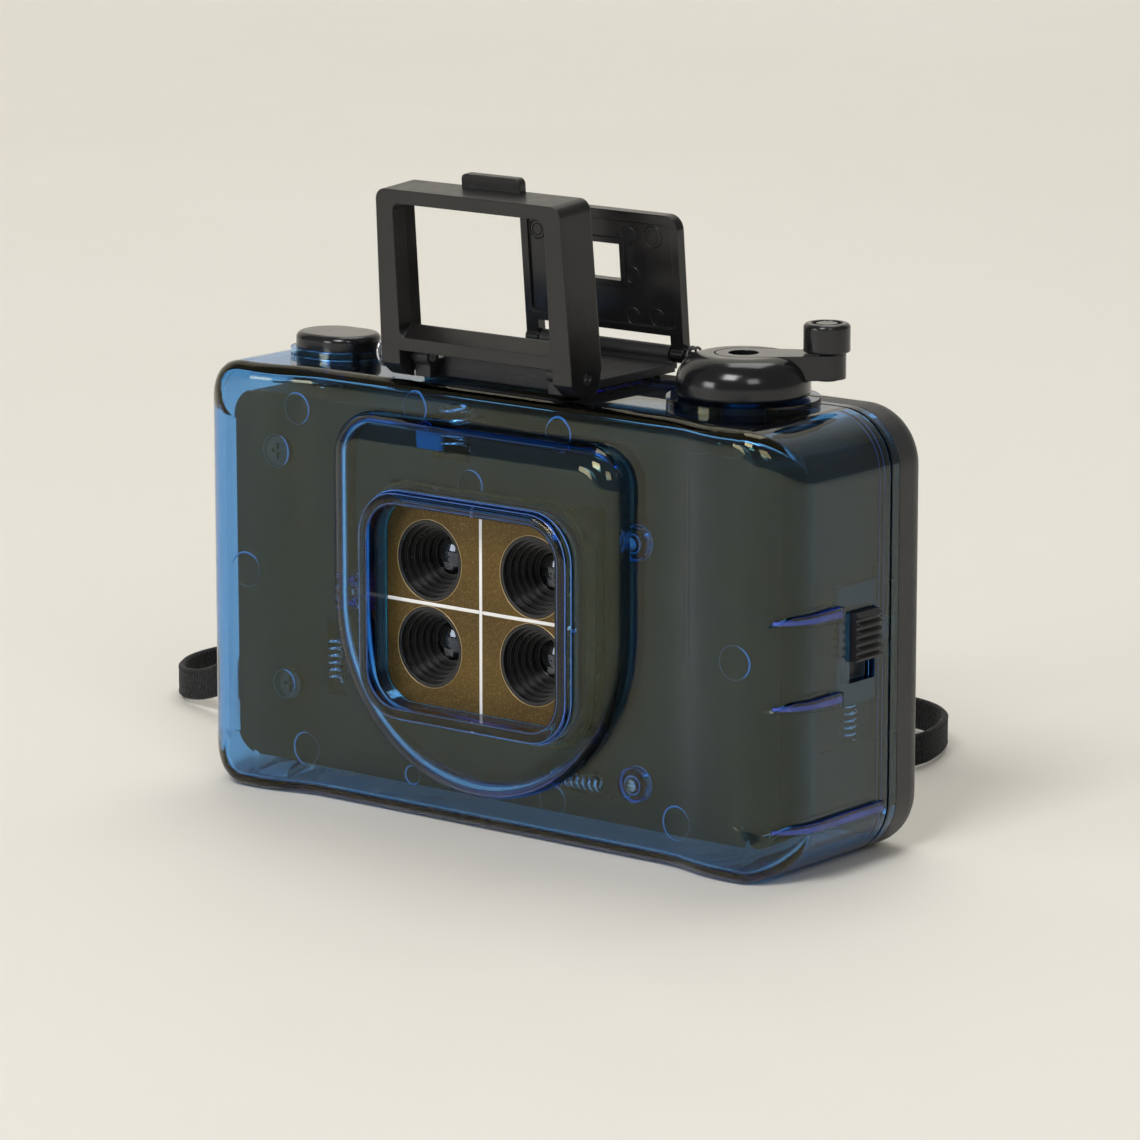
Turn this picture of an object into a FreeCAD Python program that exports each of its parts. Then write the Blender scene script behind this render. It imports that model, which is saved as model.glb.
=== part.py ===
import FreeCAD, Part
import math
import os
import Sketcher
from FreeCAD import Placement, Rotation, Vector

# Four-lens film camera with a clear tinted front shell, a hinged back and a folding frame finder.
# Millimetres. X runs across the camera, +X to the right seen from the front, Y runs from front to
# back and Z up. The origin is on the base, in the middle of the camera's depth.

doc = FreeCAD.newDocument("camera")
sheet = doc.addObject("Spreadsheet::Sheet", "sizes")


class Size:
    """A length with its value and the spreadsheet expression that gives it."""

    def __init__(self, text, value):
        self.text = text
        self.value = value

    def combine(self, sign, other, value):
        return Size("(%s %s %s)" % (self.text, sign, as_size(other).text), value)

    def __add__(self, other):
        return self.combine("+", other, self.value + as_size(other).value)

    def __radd__(self, other):
        return as_size(other) + self

    def __sub__(self, other):
        return self.combine("-", other, self.value - as_size(other).value)

    def __rsub__(self, other):
        return as_size(other) - self

    def __mul__(self, other):
        return self.combine("*", other, self.value * as_size(other).value)

    def __rmul__(self, other):
        return as_size(other) * self

    def __truediv__(self, other):
        return self.combine("/", other, self.value / as_size(other).value)

    def __neg__(self):
        return as_size(0) - self


def as_size(number):
    return number if isinstance(number, Size) else Size(repr(float(number)), float(number))


def val(number):
    return as_size(number).value


CELLS = []


def cell(name, value):
    """Writes one driving dimension into the sheet and returns it."""
    CELLS.append(name)
    row = len(CELLS)
    sheet.set("A%d" % row, name)
    sheet.set("B%d" % row, str(value))
    sheet.setAlias("B%d" % row, name)
    return Size("sizes." + name, float(value))


# Body
BODY_W = cell("body_width", 102.6)
BODY_H = cell("body_height", 60.4)
FRONT = cell("front_reach", 16.3)
BACK = cell("back_reach", 16.3)
SEAM = cell("seam_reach", 9.7)
WALL = cell("shell_wall", 1.6)
CORNER = cell("corner_radius", 8.0)
EDGE_R = cell("front_edge_radius", 2.2)
SIDE_R = cell("side_edge_radius", 7.9)
PANEL_IN = cell("panel_recess", 2.0)
PANEL_HALF = BODY_W / 2 - cell("panel_side_inset", 22.3)
GRIP_X = BODY_W / 2 - cell("grip_ridge_inset", 9.8)
COVER_WALL = cell("cover_wall", 1.5)
COVER_R = cell("cover_edge_radius", 3.4)
SEAM_GAP = cell("seam_gap", 0.1)
RIB_H = cell("finger_rib_height", 0.8)
FLAT = FRONT - PANEL_IN

# Picture size on the film
GATE_W = cell("gate_width", 36.0)
GATE_H = cell("gate_height", 24.0)
FILM_W = cell("film_width", 35.0)

# Lens boss and window: four lenses, one to each quarter of the picture
LENS_Z = BODY_H / 2 + cell("lens_rise", 0.4)
LENS_DX = GATE_W / 4
LENS_DZ = GATE_H / 4
RIM_HALF_W = LENS_DX + cell("window_margin_across", 9.2)
RIM_HALF_H = LENS_DZ + cell("window_margin_up", 9.8)
BOSS_HALF = RIM_HALF_W + cell("boss_margin", 6.8)
BOSS_TOP = LENS_Z + cell("boss_rise", 25.4)
BOSS_MID = LENS_Z - cell("boss_round_drop", 0.6)
BOSS_FRONT = cell("boss_reach", 18.35)
BOSS_R = cell("boss_edge_radius", 3.6)
BOSS_SHOULDER = cell("boss_shoulder_radius", 6.0)
RIM_FRONT = cell("window_rim_reach", 19.55)
RIM_WALL = cell("window_rim_wall", 1.8)
RIM_R = cell("window_rim_corner", 6.6)
PLATE_FRONT = cell("lens_plate_reach", 15.0)
PLATE_T = cell("lens_plate_thickness", 1.0)
HOLE_R = cell("lens_hole_radius", 5.6)
BARREL_R = cell("barrel_radius", 5.55)
BARREL_STEP = cell("barrel_step", 0.92)
BARREL_LEN = cell("barrel_length", 6.1)
GLASS_R = cell("lens_glass_radius", 2.6)
BOARD_T = cell("lens_board_thickness", 5.7)

# Chassis
CHASSIS_LEFT = BODY_W / 2 - WALL - cell("chassis_gap_left", 2.7)
CHASSIS_RIGHT = BODY_W / 2 - WALL - cell("chassis_gap_right", 2.4)
CHASSIS_FRONT = FLAT - WALL - cell("chassis_gap_front", 1.5)
CHASSIS_BACK = SEAM - cell("chassis_gap_back", 0.4)
CHASSIS_LOW = WALL + cell("chassis_gap_low", 2.4)
CHASSIS_TOP = BODY_H - WALL - cell("chassis_gap_top", 2.8)
FLOOR_T = cell("chamber_floor_thickness", 1.5)
BAY_BACK = cell("shutter_bay_back", 6.1)
BAY_WALL = cell("shutter_bay_wall", 1.1)
RAIL_Y = cell("film_rail_reach", 11.0)
CASSETTE_R = cell("cassette_chamber_radius", 12.9)
FIT = cell("running_fit", 0.08)

# Rewind
KNOB_X = BODY_W / 2 - cell("knob_inset", 20.3)
KNOB_Y = cell("knob_y", 2.3)
KNOB_R = cell("knob_radius", 9.0)
KNOB_LOW = BODY_H + cell("knob_clearance", 1.2)
KNOB_TOP = KNOB_LOW + cell("knob_height", 5.5)
KNOB_ROUND = cell("knob_rounding", 3.8)
COLLAR_R = cell("knob_collar_radius", 10.3)
COLLAR_H = cell("collar_height", 0.9)
ARM_LEN = cell("crank_arm_length", 11.0)
ARM_T = cell("crank_arm_thickness", 3.3)
ARM_HUB_R = cell("crank_hub_radius", 3.75)
ARM_END_R = cell("crank_end_radius", 2.6)
ARM_ANGLE = cell("crank_angle", 36.0)
HANDLE_R = cell("crank_handle_radius", 3.15)
HANDLE_H = cell("crank_handle_height", 3.9)
CRANK_PIN_R = cell("crank_pin_radius", 0.9)
SHAFT_R = cell("rewind_shaft_radius", 1.9)
SLEEVE_R = cell("rewind_sleeve_radius", 3.0)
FORK_LOW = CHASSIS_TOP - cell("rewind_fork_drop", 7.0)

# Film transport
SPOOL_X = BODY_W / 2 - cell("spool_inset", 16.3)
SPOOL_Y = cell("spool_y", 4.9)
SPOOL_R = cell("spool_radius", 3.8)
SPOOL_ROOM_R = cell("spool_chamber_radius", 9.0)
WHEEL_R = cell("wind_wheel_radius", 12.5)
WHEEL_LOW = CHASSIS_TOP - cell("wind_wheel_drop", 5.6)
WHEEL_T = cell("wind_wheel_thickness", 3.2)
WHEEL_GAP = cell("wind_wheel_clearance", 0.4)
JOURNAL_R = cell("journal_radius", 2.0)
SPROCKET_X = SPOOL_X - cell("sprocket_offset", 10.3)
SPROCKET_Y = cell("sprocket_y", 5.0)
SPROCKET_R = cell("sprocket_radius", 5.2)
TOOTH_H = cell("sprocket_tooth", 1.0)
SPROCKET_AXLE_R = cell("sprocket_axle_radius", 1.5)
DIAL_R = cell("counter_dial_radius", 6.5)
DIAL_T = cell("counter_dial_thickness", 0.8)
FINGER_R = cell("counter_finger_reach", 2.9)
RELEASE_X = cell("rewind_release_x", 10.0)
RELEASE_Y = cell("rewind_release_y", 3.0)

# Shutter release
BUTTON_X = BODY_W / 2 - cell("button_inset", 14.4)
BUTTON_Y = cell("button_y", 1.3)
BUTTON_R = cell("button_radius", 4.9)
BUTTON_STRAIGHT = cell("button_straight_half", 1.35)
BUTTON_TOP = BODY_H + cell("button_rise", 3.1)
BUTTON_GAP = cell("button_clearance", 0.2)

# Back latch
LATCH_Y0 = cell("latch_window_front", 1.2)
LATCH_Y1 = cell("latch_window_back", 4.5)
LATCH_Z0 = BODY_H / 2 - cell("latch_window_drop", 4.6)
LATCH_Z1 = LATCH_Z0 + cell("latch_window_height", 9.7)
LATCH_H = cell("latch_button_height", 6.6)
LATCH_T = cell("latch_plate_thickness", 1.0)

# Back hinge
HINGE_OUT = cell("hinge_offset", 1.6)
KNUCKLE_R = cell("knuckle_radius", 1.4)
HINGE_PIN_R = cell("hinge_pin_radius", 0.7)
KNUCKLE_LOW = BODY_H / 2 - cell("knuckle_drop", 9.2)
KNUCKLE_H = cell("knuckle_height", 6.0)
KNUCKLE_SPAN = cell("hinge_height", 30.0)

# Finder
FINDER_X = cell("finder_offset", 1.8)
FRAME_Y = cell("finder_front_axis_reach", 10.4)
FRAME_Z = BODY_H + cell("finder_front_axis_rise", 3.2)
FRAME_LEAN = cell("finder_front_lean", 4.5)
FRAME_FACE = cell("frame_face_reach", 3.4)
FRAME_REAR = cell("frame_rear_reach", 3.1)
FRAME_TOP = cell("frame_top", 23.6)
FRAME_HALF = cell("frame_half_width", 16.6)
FRAME_TAPER = cell("frame_taper", 0.7)
FRAME_FACE_T = cell("frame_face_thickness", 2.9)
VIEW_HALF = cell("view_half_width", 13.1)
VIEW_LOW = cell("view_bottom", 3.2)
VIEW_TOP = cell("view_top", 21.7)
SIGHT_Y = cell("sight_axis_reach", 14.85)
SIGHT_Z = BODY_H + cell("sight_axis_rise", 2.6)
SIGHT_LEAN = cell("sight_lean", 5.3)
SIGHT_HALF = cell("sight_half_width", 13.75)
SIGHT_TOP = cell("sight_top", 19.5)
SIGHT_T = cell("sight_thickness", 1.5)
SIGHT_LEG = cell("sight_leg_width", 2.15)
FLOOR_HALF = cell("finder_floor_half_width", 12.9)
FLOOR_LOW = BODY_H + cell("finder_floor_rise", 0.5)
FLOOR_TOP = FLOOR_LOW + cell("finder_floor_thickness", 1.1)
FINDER_PIN_R = cell("finder_pin_radius", 0.7)

STRAP_R = cell("strap_section_radius", 1.25)
BAR_R = cell("strap_bar_radius", 0.8)
BAR_LOW = cell("strap_bar_bottom", 10.0)
BAR_SPAN = cell("strap_bar_span", 7.0)
BAR_Y = cell("strap_bar_y", 11.6)
doc.recompute()


# Helpers

def bind(obj, path, number):
    obj.setExpression(path, as_size(number).text)


def origin_plane(body, role):
    return [item for item in body.Origin.OriginFeatures if item.Role == role][0]


def constrain(sketch, kind, geo, point, number):
    index = sketch.addConstraint(Sketcher.Constraint(kind, -1, 1, geo, point, val(number)))
    sketch.setExpression("Constraints[%d]" % index, as_size(number).text)


def draw_loop(sketch, points):
    """Draws a closed outline. A point is (x, y), or (x, y, centre x, centre y, turn) where the edge
    that leaves it is an arc, turning left for 1 and right for -1."""
    made = []
    for index, here in enumerate(points):
        there = points[(index + 1) % len(points)]
        start = Vector(val(here[0]), val(here[1]), 0)
        end = Vector(val(there[0]), val(there[1]), 0)
        if len(here) == 2:
            made.append(sketch.addGeometry(Part.LineSegment(start, end), False))
            continue
        centre = Vector(val(here[2]), val(here[3]), 0)
        first = math.atan2(start.y - centre.y, start.x - centre.x)
        last = math.atan2(end.y - centre.y, end.x - centre.x)
        if here[4] < 0:
            first, last = last, first
        if last < first:
            last += 2 * math.pi
        circle = Part.Circle(centre, Vector(0, 0, 1), (start - centre).Length)
        made.append(sketch.addGeometry(Part.ArcOfCircle(circle, first, last), False))
    for index, here in enumerate(points):
        there = points[(index + 1) % len(points)]
        before = points[index - 1]
        start = 2 if len(here) > 2 and here[4] < 0 else 1
        end = 1 if len(before) > 2 and before[4] < 0 else 2
        sketch.addConstraint(Sketcher.Constraint("Coincident", made[index - 1], end, made[index], start))
        constrain(sketch, "DistanceX", made[index], start, here[0])
        constrain(sketch, "DistanceY", made[index], start, here[1])
        if len(here) > 2:
            across = abs(val(there[0]) - val(here[0]))
            up = abs(val(there[1]) - val(here[1]))
            if up >= across * 0.9:
                constrain(sketch, "DistanceX", made[index], 3, here[2])
            else:
                constrain(sketch, "DistanceY", made[index], 3, here[3])


def draw_circle(sketch, x, y, radius):
    centre = Vector(val(x), val(y), 0)
    made = sketch.addGeometry(Part.Circle(centre, Vector(0, 0, 1), val(radius)), False)
    constrain(sketch, "DistanceX", made, 3, x)
    constrain(sketch, "DistanceY", made, 3, y)
    index = sketch.addConstraint(Sketcher.Constraint("Radius", made, val(radius)))
    sketch.setExpression("Constraints[%d]" % index, as_size(radius).text)


def new_sketch(body, role, offset, loops):
    """A loop is a list of points, or a circle written as a tuple (x, y, radius)."""
    sketch = body.newObject("Sketcher::SketchObject", body.Name + "_sketch")
    sketch.AttachmentSupport = [(origin_plane(body, role), "")]
    sketch.MapMode = "FlatFace"
    bind(sketch, ".AttachmentOffset.Base.z", offset)
    for loop in loops:
        if isinstance(loop, tuple):
            draw_circle(sketch, *loop)
        else:
            draw_loop(sketch, loop)
    return sketch


def new_body(label):
    body = doc.addObject("PartDesign::Body", label)
    body.Label = label
    return body


def pad(label, role, loops, start, end):
    """A prism from one plane to another. XY prisms run up from start to end, YZ prisms run to +X
    and XZ prisms run forward, from a start at the back to an end nearer the front."""
    body = new_body(label)
    offset = -as_size(start) if role == "XZ_Plane" else start
    sketch = new_sketch(body, role, offset, loops)
    prism = body.newObject("PartDesign::Pad", label + "_pad")
    prism.Profile = sketch
    length = as_size(start) - end if role == "XZ_Plane" else as_size(end) - start
    bind(prism, "Length", length)
    return body


def turn(label, role, loops, axis="V_Axis"):
    """A full revolution of a profile about a sketch axis."""
    body = new_body(label)
    sketch = new_sketch(body, role, 0, loops)
    ring = body.newObject("PartDesign::Revolution", label + "_turn")
    ring.Profile = sketch
    ring.ReferenceAxis = (sketch, [axis])
    ring.Angle = 360.0
    return body


def soften(body, radius, test):
    """Rounds the edges of a body that pass the test."""
    doc.recompute()
    tip = body.Tip
    names = ["Edge%d" % (i + 1) for i, edge in enumerate(tip.Shape.Edges) if test(edge.BoundBox)]
    if not names:
        raise ValueError("no edge to round on " + body.Label)
    rounding = body.newObject("PartDesign::Fillet", body.Name + "_round")
    rounding.Base = (tip, names)
    bind(rounding, "Radius", radius)
    body.Tip = rounding
    return body


def place(obj, x=0, y=0, z=0, angle=None, axis=Vector(0, 0, 1)):
    if angle is not None:
        obj.Placement = Placement(Vector(), Rotation(axis, val(angle)))
        bind(obj, ".Placement.Rotation.Angle", angle)
    bind(obj, ".Placement.Base.x", x)
    bind(obj, ".Placement.Base.y", y)
    bind(obj, ".Placement.Base.z", z)
    return obj


def block(label, x0, x1, y0, y1, z0, z1):
    box = doc.addObject("Part::Box", label)
    box.Label = label
    bind(box, "Length", as_size(x1) - x0)
    bind(box, "Width", as_size(y1) - y0)
    bind(box, "Height", as_size(z1) - z0)
    return place(box, x0, y0, z0)


TURNS = {"x": Rotation(Vector(0, 1, 0), 90), "y": Rotation(Vector(1, 0, 0), -90), "z": Rotation()}


def rod(label, along, radius, x, y, z, length):
    cylinder = doc.addObject("Part::Cylinder", label)
    cylinder.Label = label
    cylinder.Placement = Placement(Vector(), TURNS[along])
    bind(cylinder, "Radius", radius)
    bind(cylinder, "Height", length)
    return place(cylinder, x, y, z)


def fuse(label, items):
    joined = doc.addObject("Part::MultiFuse", label)
    joined.Label = label
    joined.Shapes = items
    return joined


def common(label, items):
    shared = doc.addObject("Part::MultiCommon", label)
    shared.Label = label
    shared.Shapes = items
    return shared


def cut(label, base, tools):
    tool = tools[0] if len(tools) == 1 else fuse(label + "_tools", tools)
    left = doc.addObject("Part::Cut", label)
    left.Label = label
    left.Base = base
    left.Tool = tool
    return left


def made_shape(label, shape):
    feature = doc.addObject("Part::Feature", label)
    feature.Label = label
    feature.Shape = shape
    return feature


def rounded_rect(half_w, z0, z1, radius):
    """Outline of an upright rounded rectangle centred on x = 0."""
    left = radius - half_w
    right = half_w - radius
    low = z0 + radius
    high = z1 - radius
    return [(left, z0), (right, z0, right, low, 1), (half_w, low), (half_w, high, right, high, 1),
            (right, z1), (left, z1, left, high, 1), (-half_w, high), (-half_w, low, left, low, 1)]


def slot_outline(x, y, straight, radius):
    """Outline of a slot with round ends, long way across."""
    return [(x - straight, y - radius), (x + straight, y - radius, x + straight, y, 1),
            (x + straight, y + radius), (x - straight, y + radius, x - straight, y, 1)]


def near(one, other):
    return abs(one - other) < 1e-4


# Outer form, shared by the shell, its inside and the ribs on it

def hull(label, inset, back):
    """The body's form drawn in by an inset: a rounded slab whose front edge rounding grows from the
    long edges to the sides, cut by a plan outline with a flat middle and a ridge at each grip."""
    half = BODY_W / 2 - inset
    low = as_size(0) + inset
    high = BODY_H - inset
    front = inset - FRONT
    slab = pad(label + "_slab", "XZ_Plane", [rounded_rect(half, low, high, CORNER - inset)], back, front)
    doc.recompute()
    small = val(EDGE_R) - val(inset)
    large = val(SIDE_R) - val(inset)
    radii = []
    for index, edge in enumerate(slab.Shape.Edges):
        box = edge.BoundBox
        if not (near(box.YMin, val(front)) and near(box.YMax, val(front))):
            continue
        if box.ZLength < 1e-6:
            radii.append((index + 1, small, small))
        elif box.XLength < 1e-6:
            radii.append((index + 1, large, large))
        else:
            begins_at_side = near(abs(edge.valueAt(edge.FirstParameter).x), val(half))
            pair = (large, small) if begins_at_side else (small, large)
            radii.append((index + 1,) + pair)
    rounded = doc.addObject("Part::Fillet", label + "_rounded")
    rounded.Base = slab
    rounded.Edges = radii

    # The plan outline: flat panel, two arcs up to each grip ridge, and square ends outside the slab
    rise = PANEL_IN + 0.05
    run = GRIP_X - PANEL_HALF
    sweep = (run * run + rise * rise) / (4 * rise)
    flat = inset - FLAT
    ridge = flat - rise
    middle = (flat + ridge) / 2
    mid_x = (PANEL_HALF + GRIP_X) / 2
    far = BODY_W / 2 + 5
    outline = [(-PANEL_HALF, flat), (PANEL_HALF, flat, PANEL_HALF, flat - sweep, -1),
               (mid_x, middle, GRIP_X, ridge + sweep, 1), (GRIP_X, ridge), (far, ridge),
               (far, back), (-far, back), (-far, ridge), (-GRIP_X, ridge, -GRIP_X, ridge + sweep, 1),
               (-mid_x, middle, -PANEL_HALF, flat - sweep, -1)]
    plan = pad(label + "_plan", "XY_Plane", [outline], low, high)
    top = val(high)
    bottom = val(low)
    limit = val(flat) + 1e-3

    def on_front_rim(box):
        level = near(box.ZMin, box.ZMax) and (near(box.ZMin, top) or near(box.ZMin, bottom))
        return level and box.YMax <= limit and box.XLength > 1e-3

    soften(plan, EDGE_R - inset, on_front_rim)
    return common(label, [rounded, plan])


# Front shell

def d_outline(half, top, shoulder):
    """The lens boss from the front: straight top, round shoulders, half-round lower end."""
    side = top - shoulder
    return [(-half, BOSS_MID, 0, BOSS_MID, 1), (half, BOSS_MID), (half, side, half - shoulder, side, 1),
            (half - shoulder, top), (shoulder - half, top, shoulder - half, side, 1), (-half, side)]


def front_ring(front):
    """Test for the edges that lie in a plane at the front of a body."""
    return lambda box: near(box.YMin, val(front)) and near(box.YMax, val(front))


SCREW_SPOTS = [("right_top", BOSS_HALF - 0.4, 12.3), ("right_low", BOSS_HALF - 0.4, -20.5),
               ("left", 0.1 - BOSS_HALF, -0.6)]


def make_front_shell():
    skin = cut("shell_skin", hull("shell_outer", as_size(0), SEAM), [hull("shell_inner", WALL, SEAM + 1)])
    boss = pad("shell_boss", "XZ_Plane", [d_outline(BOSS_HALF, BOSS_TOP, BOSS_SHOULDER)],
               WALL / 2 - FLAT, -BOSS_FRONT)
    soften(boss, BOSS_R, front_ring(-BOSS_FRONT))
    room = pad("shell_boss_room", "XZ_Plane",
               [d_outline(BOSS_HALF - WALL, BOSS_TOP - WALL, BOSS_SHOULDER - WALL)],
               WALL - FLAT + 0.1, WALL - BOSS_FRONT)
    soften(room, BOSS_R - WALL, front_ring(WALL - BOSS_FRONT))
    rim = pad("shell_rim", "XZ_Plane",
              [rounded_rect(RIM_HALF_W, LENS_Z - RIM_HALF_H, LENS_Z + RIM_HALF_H, RIM_R)],
              -PLATE_FRONT - SEAM_GAP, -RIM_FRONT)
    soften(rim, RIM_WALL / 2, front_ring(-RIM_FRONT))
    window = pad("shell_window", "XZ_Plane",
                 [rounded_rect(RIM_HALF_W - RIM_WALL, LENS_Z - RIM_HALF_H + RIM_WALL,
                               LENS_Z + RIM_HALF_H - RIM_WALL, RIM_R - RIM_WALL)],
                 -PLATE_FRONT + WALL, -RIM_FRONT - 1)

    top = BODY_H
    adds = [boss]
    adds.append(rod("shell_knob_collar", "z", COLLAR_R, KNOB_X, KNOB_Y, top - WALL / 2, COLLAR_H + WALL / 2))
    adds.append(pad("shell_button_collar", "XY_Plane",
                    [slot_outline(-BUTTON_X, -BUTTON_Y, BUTTON_STRAIGHT, BUTTON_R + BUTTON_GAP + 0.6)],
                    top - WALL / 2, top + COLLAR_H))
    adds.append(block("shell_finder_step", -FINDER_X - FLOOR_HALF - 0.2, FLOOR_HALF - FINDER_X + 0.2,
                      -FRAME_Y + 1.5, SEAM, top - WALL / 2, FLOOR_LOW))
    for name, x, up in SCREW_SPOTS:
        adds.append(rod("shell_screw_post_" + name, "y", 2.4, x, WALL / 2 - FLAT, LENS_Z + up,
                        FLAT - WALL / 2 - CHASSIS_FRONT - 0.05))
    hinge_x = -BODY_W / 2 - HINGE_OUT
    for name, low in (("low", KNUCKLE_LOW), ("high", KNUCKLE_LOW + KNUCKLE_SPAN - KNUCKLE_H)):
        adds.append(rod("shell_knuckle_" + name, "z", KNUCKLE_R, hinge_x, SEAM, low, KNUCKLE_H))
        adds.append(block("shell_knuckle_web_" + name, hinge_x, WALL / 2 - BODY_W / 2,
                          SEAM - KNUCKLE_R, SEAM - SEAM_GAP, low, low + KNUCKLE_H))
    adds.append(make_side_ribs())

    cuts = [room, window]
    cuts.append(rod("shell_shaft_hole", "z", SLEEVE_R + FIT, KNOB_X, KNOB_Y, top - 2 * WALL, 3 * WALL + COLLAR_H))
    cuts.append(pad("shell_button_hole", "XY_Plane",
                    [slot_outline(-BUTTON_X, -BUTTON_Y, BUTTON_STRAIGHT, BUTTON_R + BUTTON_GAP)],
                    top - 2 * WALL, top + COLLAR_H + 1))
    cuts.append(block("shell_latch_window", BODY_W / 2 - 2 * WALL, BODY_W / 2 + 1,
                      -LATCH_Y0, LATCH_Y1, LATCH_Z0, LATCH_Z1))
    for name, x, up in SCREW_SPOTS:
        cuts.append(rod("shell_screw_pilot_" + name, "y", 0.9, x, 0.9 - FLAT, LENS_Z + up, 3.0))
    for name, low in (("low", KNUCKLE_LOW), ("high", KNUCKLE_LOW + KNUCKLE_SPAN - KNUCKLE_H)):
        cuts.append(rod("shell_knuckle_bore_" + name, "z", HINGE_PIN_R, hinge_x, SEAM, low - 1, KNUCKLE_H + 2))
    cuts.append(block("shell_collar_relief", KNOB_X - COLLAR_R, KNOB_X + COLLAR_R, SEAM, SEAM + 5,
                      BODY_H - 2 * WALL, BODY_H + 0.12))
    cuts.append(rod("shell_release_hole", "z", 3.0, -RELEASE_X, RELEASE_Y, -1, 2 * WALL))
    cuts.append(pad("shell_seam_groove", "XZ_Plane",
                    [rounded_rect(BODY_W / 2 + 2, as_size(-2), BODY_H + 2, CORNER + 2),
                     rounded_rect(BODY_W / 2 - 0.3, as_size(0.3), BODY_H - 0.3, CORNER - 0.3)],
                    SEAM - 1.6, SEAM - 2.1))
    whole = fuse("shell_whole", [skin] + adds)
    trimmed = cut("shell_trimmed", whole, cuts)
    collar = cut("shell_window_collar", rim, [pad(
        "shell_window_through", "XZ_Plane",
        [rounded_rect(RIM_HALF_W - RIM_WALL, LENS_Z - RIM_HALF_H + RIM_WALL,
                      LENS_Z + RIM_HALF_H - RIM_WALL, RIM_R - RIM_WALL)],
        -PLATE_FRONT + WALL, -RIM_FRONT - 1)])
    return fuse("front_shell", [trimmed, collar])


def make_side_ribs():
    """Wedge-shaped finger ribs low on the latch side, square at the back and fading to the front."""
    skin = cut("rib_layer", hull("rib_skin", -RIB_H, SEAM), [hull("rib_core", WALL / 2, SEAM + 1)])
    wedges = []
    for name, height, back in (("high", BODY_H / 2 + 5.3, -3.4), ("middle", BODY_H / 2 - 6.1, -3.4),
                               ("low", BODY_H / 2 - 22.6, 6.1)):
        front = -15.2
        wedges.append(pad("rib_wedge_" + name, "YZ_Plane",
                          [[(as_size(front), height - 0.4), (as_size(back), height - 1.1),
                            (as_size(back), height + 0.9), (as_size(front + 2.4), height + 0.75)]],
                          BODY_W / 2 - 9, BODY_W / 2 + 2))
    return common("side_ribs", [skin, fuse("rib_wedges", wedges)])


# Lens group

def lens_spots():
    spots = []
    for row in (1, -1):
        for side in (-1, 1):
            spots.append((LENS_DX * side, LENS_Z + LENS_DZ * row))
    return spots


def make_lens_plate():
    half_h = RIM_HALF_H + 0.8
    holes = [(x, z, HOLE_R) for x, z in lens_spots()]
    return pad("lens_plate", "XZ_Plane",
               [rounded_rect(RIM_HALF_W + 0.4, LENS_Z - half_h, LENS_Z + half_h, RIM_R - 0.6)] + holes,
               PLATE_T - PLATE_FRONT, -PLATE_FRONT)


def make_lens_board():
    """The block behind the plate that seats the four barrels, with a bore for the shutter axle."""
    half_h = RIM_HALF_H - 0.2
    front = PLATE_T + 0.1 - PLATE_FRONT
    holes = [(x, z, BARREL_R + 0.02) for x, z in lens_spots()]
    return pad("lens_board", "XZ_Plane",
               [rounded_rect(RIM_HALF_W - 0.2, LENS_Z - half_h, LENS_Z + half_h, RIM_R - 1.6)] + holes
               + [(as_size(0), LENS_Z, 1.0 + FIT)], front + BOARD_T, front)


def make_lens_barrels():
    """Stepped black cones, each with its small glass at the bottom."""
    made = []
    rear = BARREL_LEN - PLATE_FRONT
    for number, (x, z) in enumerate(lens_spots(), 1):
        steps = 5
        outline = [(BARREL_R, -PLATE_FRONT), (BARREL_R, rear), (GLASS_R + 0.02, rear)]
        for step in range(steps, 0, -1):
            depth = BARREL_STEP * step - PLATE_FRONT
            inner = BARREL_R - 0.45 * step if step > 1 else BARREL_R - 0.45
            beyond = BARREL_R - 0.45 * (step + 1) if step < steps else GLASS_R + 0.02
            outline.append((beyond, depth))
            outline.append((inner, depth))
        outline.append((BARREL_R - 0.45, -PLATE_FRONT))
        barrel = turn("lens_barrel_%d" % number, "XY_Plane", [outline])
        made.append(place(barrel, x, 0, z))
        front = BARREL_STEP * steps - PLATE_FRONT
        crown = 0.7
        sweep = (GLASS_R * GLASS_R + crown * crown) / (2 * crown)
        glass = turn("lens_element_%d" % number, "XY_Plane",
                     [[(as_size(0), front - crown, 0, front - crown + sweep, 1), (GLASS_R, front),
                       (GLASS_R, rear), (as_size(0), rear)]])
        made.append(place(glass, x, 0, z))
    return made


def make_shutter_disc():
    """A thin disc on its axle, with one slot that passes the four lenses in turn."""
    front = -BAY_BACK - 1.5
    radius = RIM_HALF_H - 0.6
    disc = pad("shutter_disc_blank", "XZ_Plane", [(as_size(0), as_size(0), radius)], front + 0.8, front)
    slot = pad("shutter_disc_slot", "XZ_Plane",
               [[(as_size(-2.6), radius / 2, as_size(0), as_size(0), -1), (as_size(2.6), radius / 2),
                 (as_size(4.4), radius - 2.0, as_size(0), as_size(0), 1), (as_size(-4.4), radius - 2.0)]],
               front + 2, front - 2)
    axle = rod("shutter_disc_axle", "y", 1.0, 0, front - 0.55, 0, 2.45)
    made = cut("shutter_disc", fuse("shutter_disc_whole", [disc, axle]), [slot])
    return place(made, 0, 0, LENS_Z)


# Chassis

# Front end of the tapered picture room
ROOM_HALF_W = GATE_W / 2 - 5
ROOM_HALF_H = GATE_H / 2 - 2

FRONT_SCREWS = [("high", 12.8 - BODY_W / 2, LENS_Z + 17.4), ("low", 14.8 - BODY_W / 2, LENS_Z - 15.4)]


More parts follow.
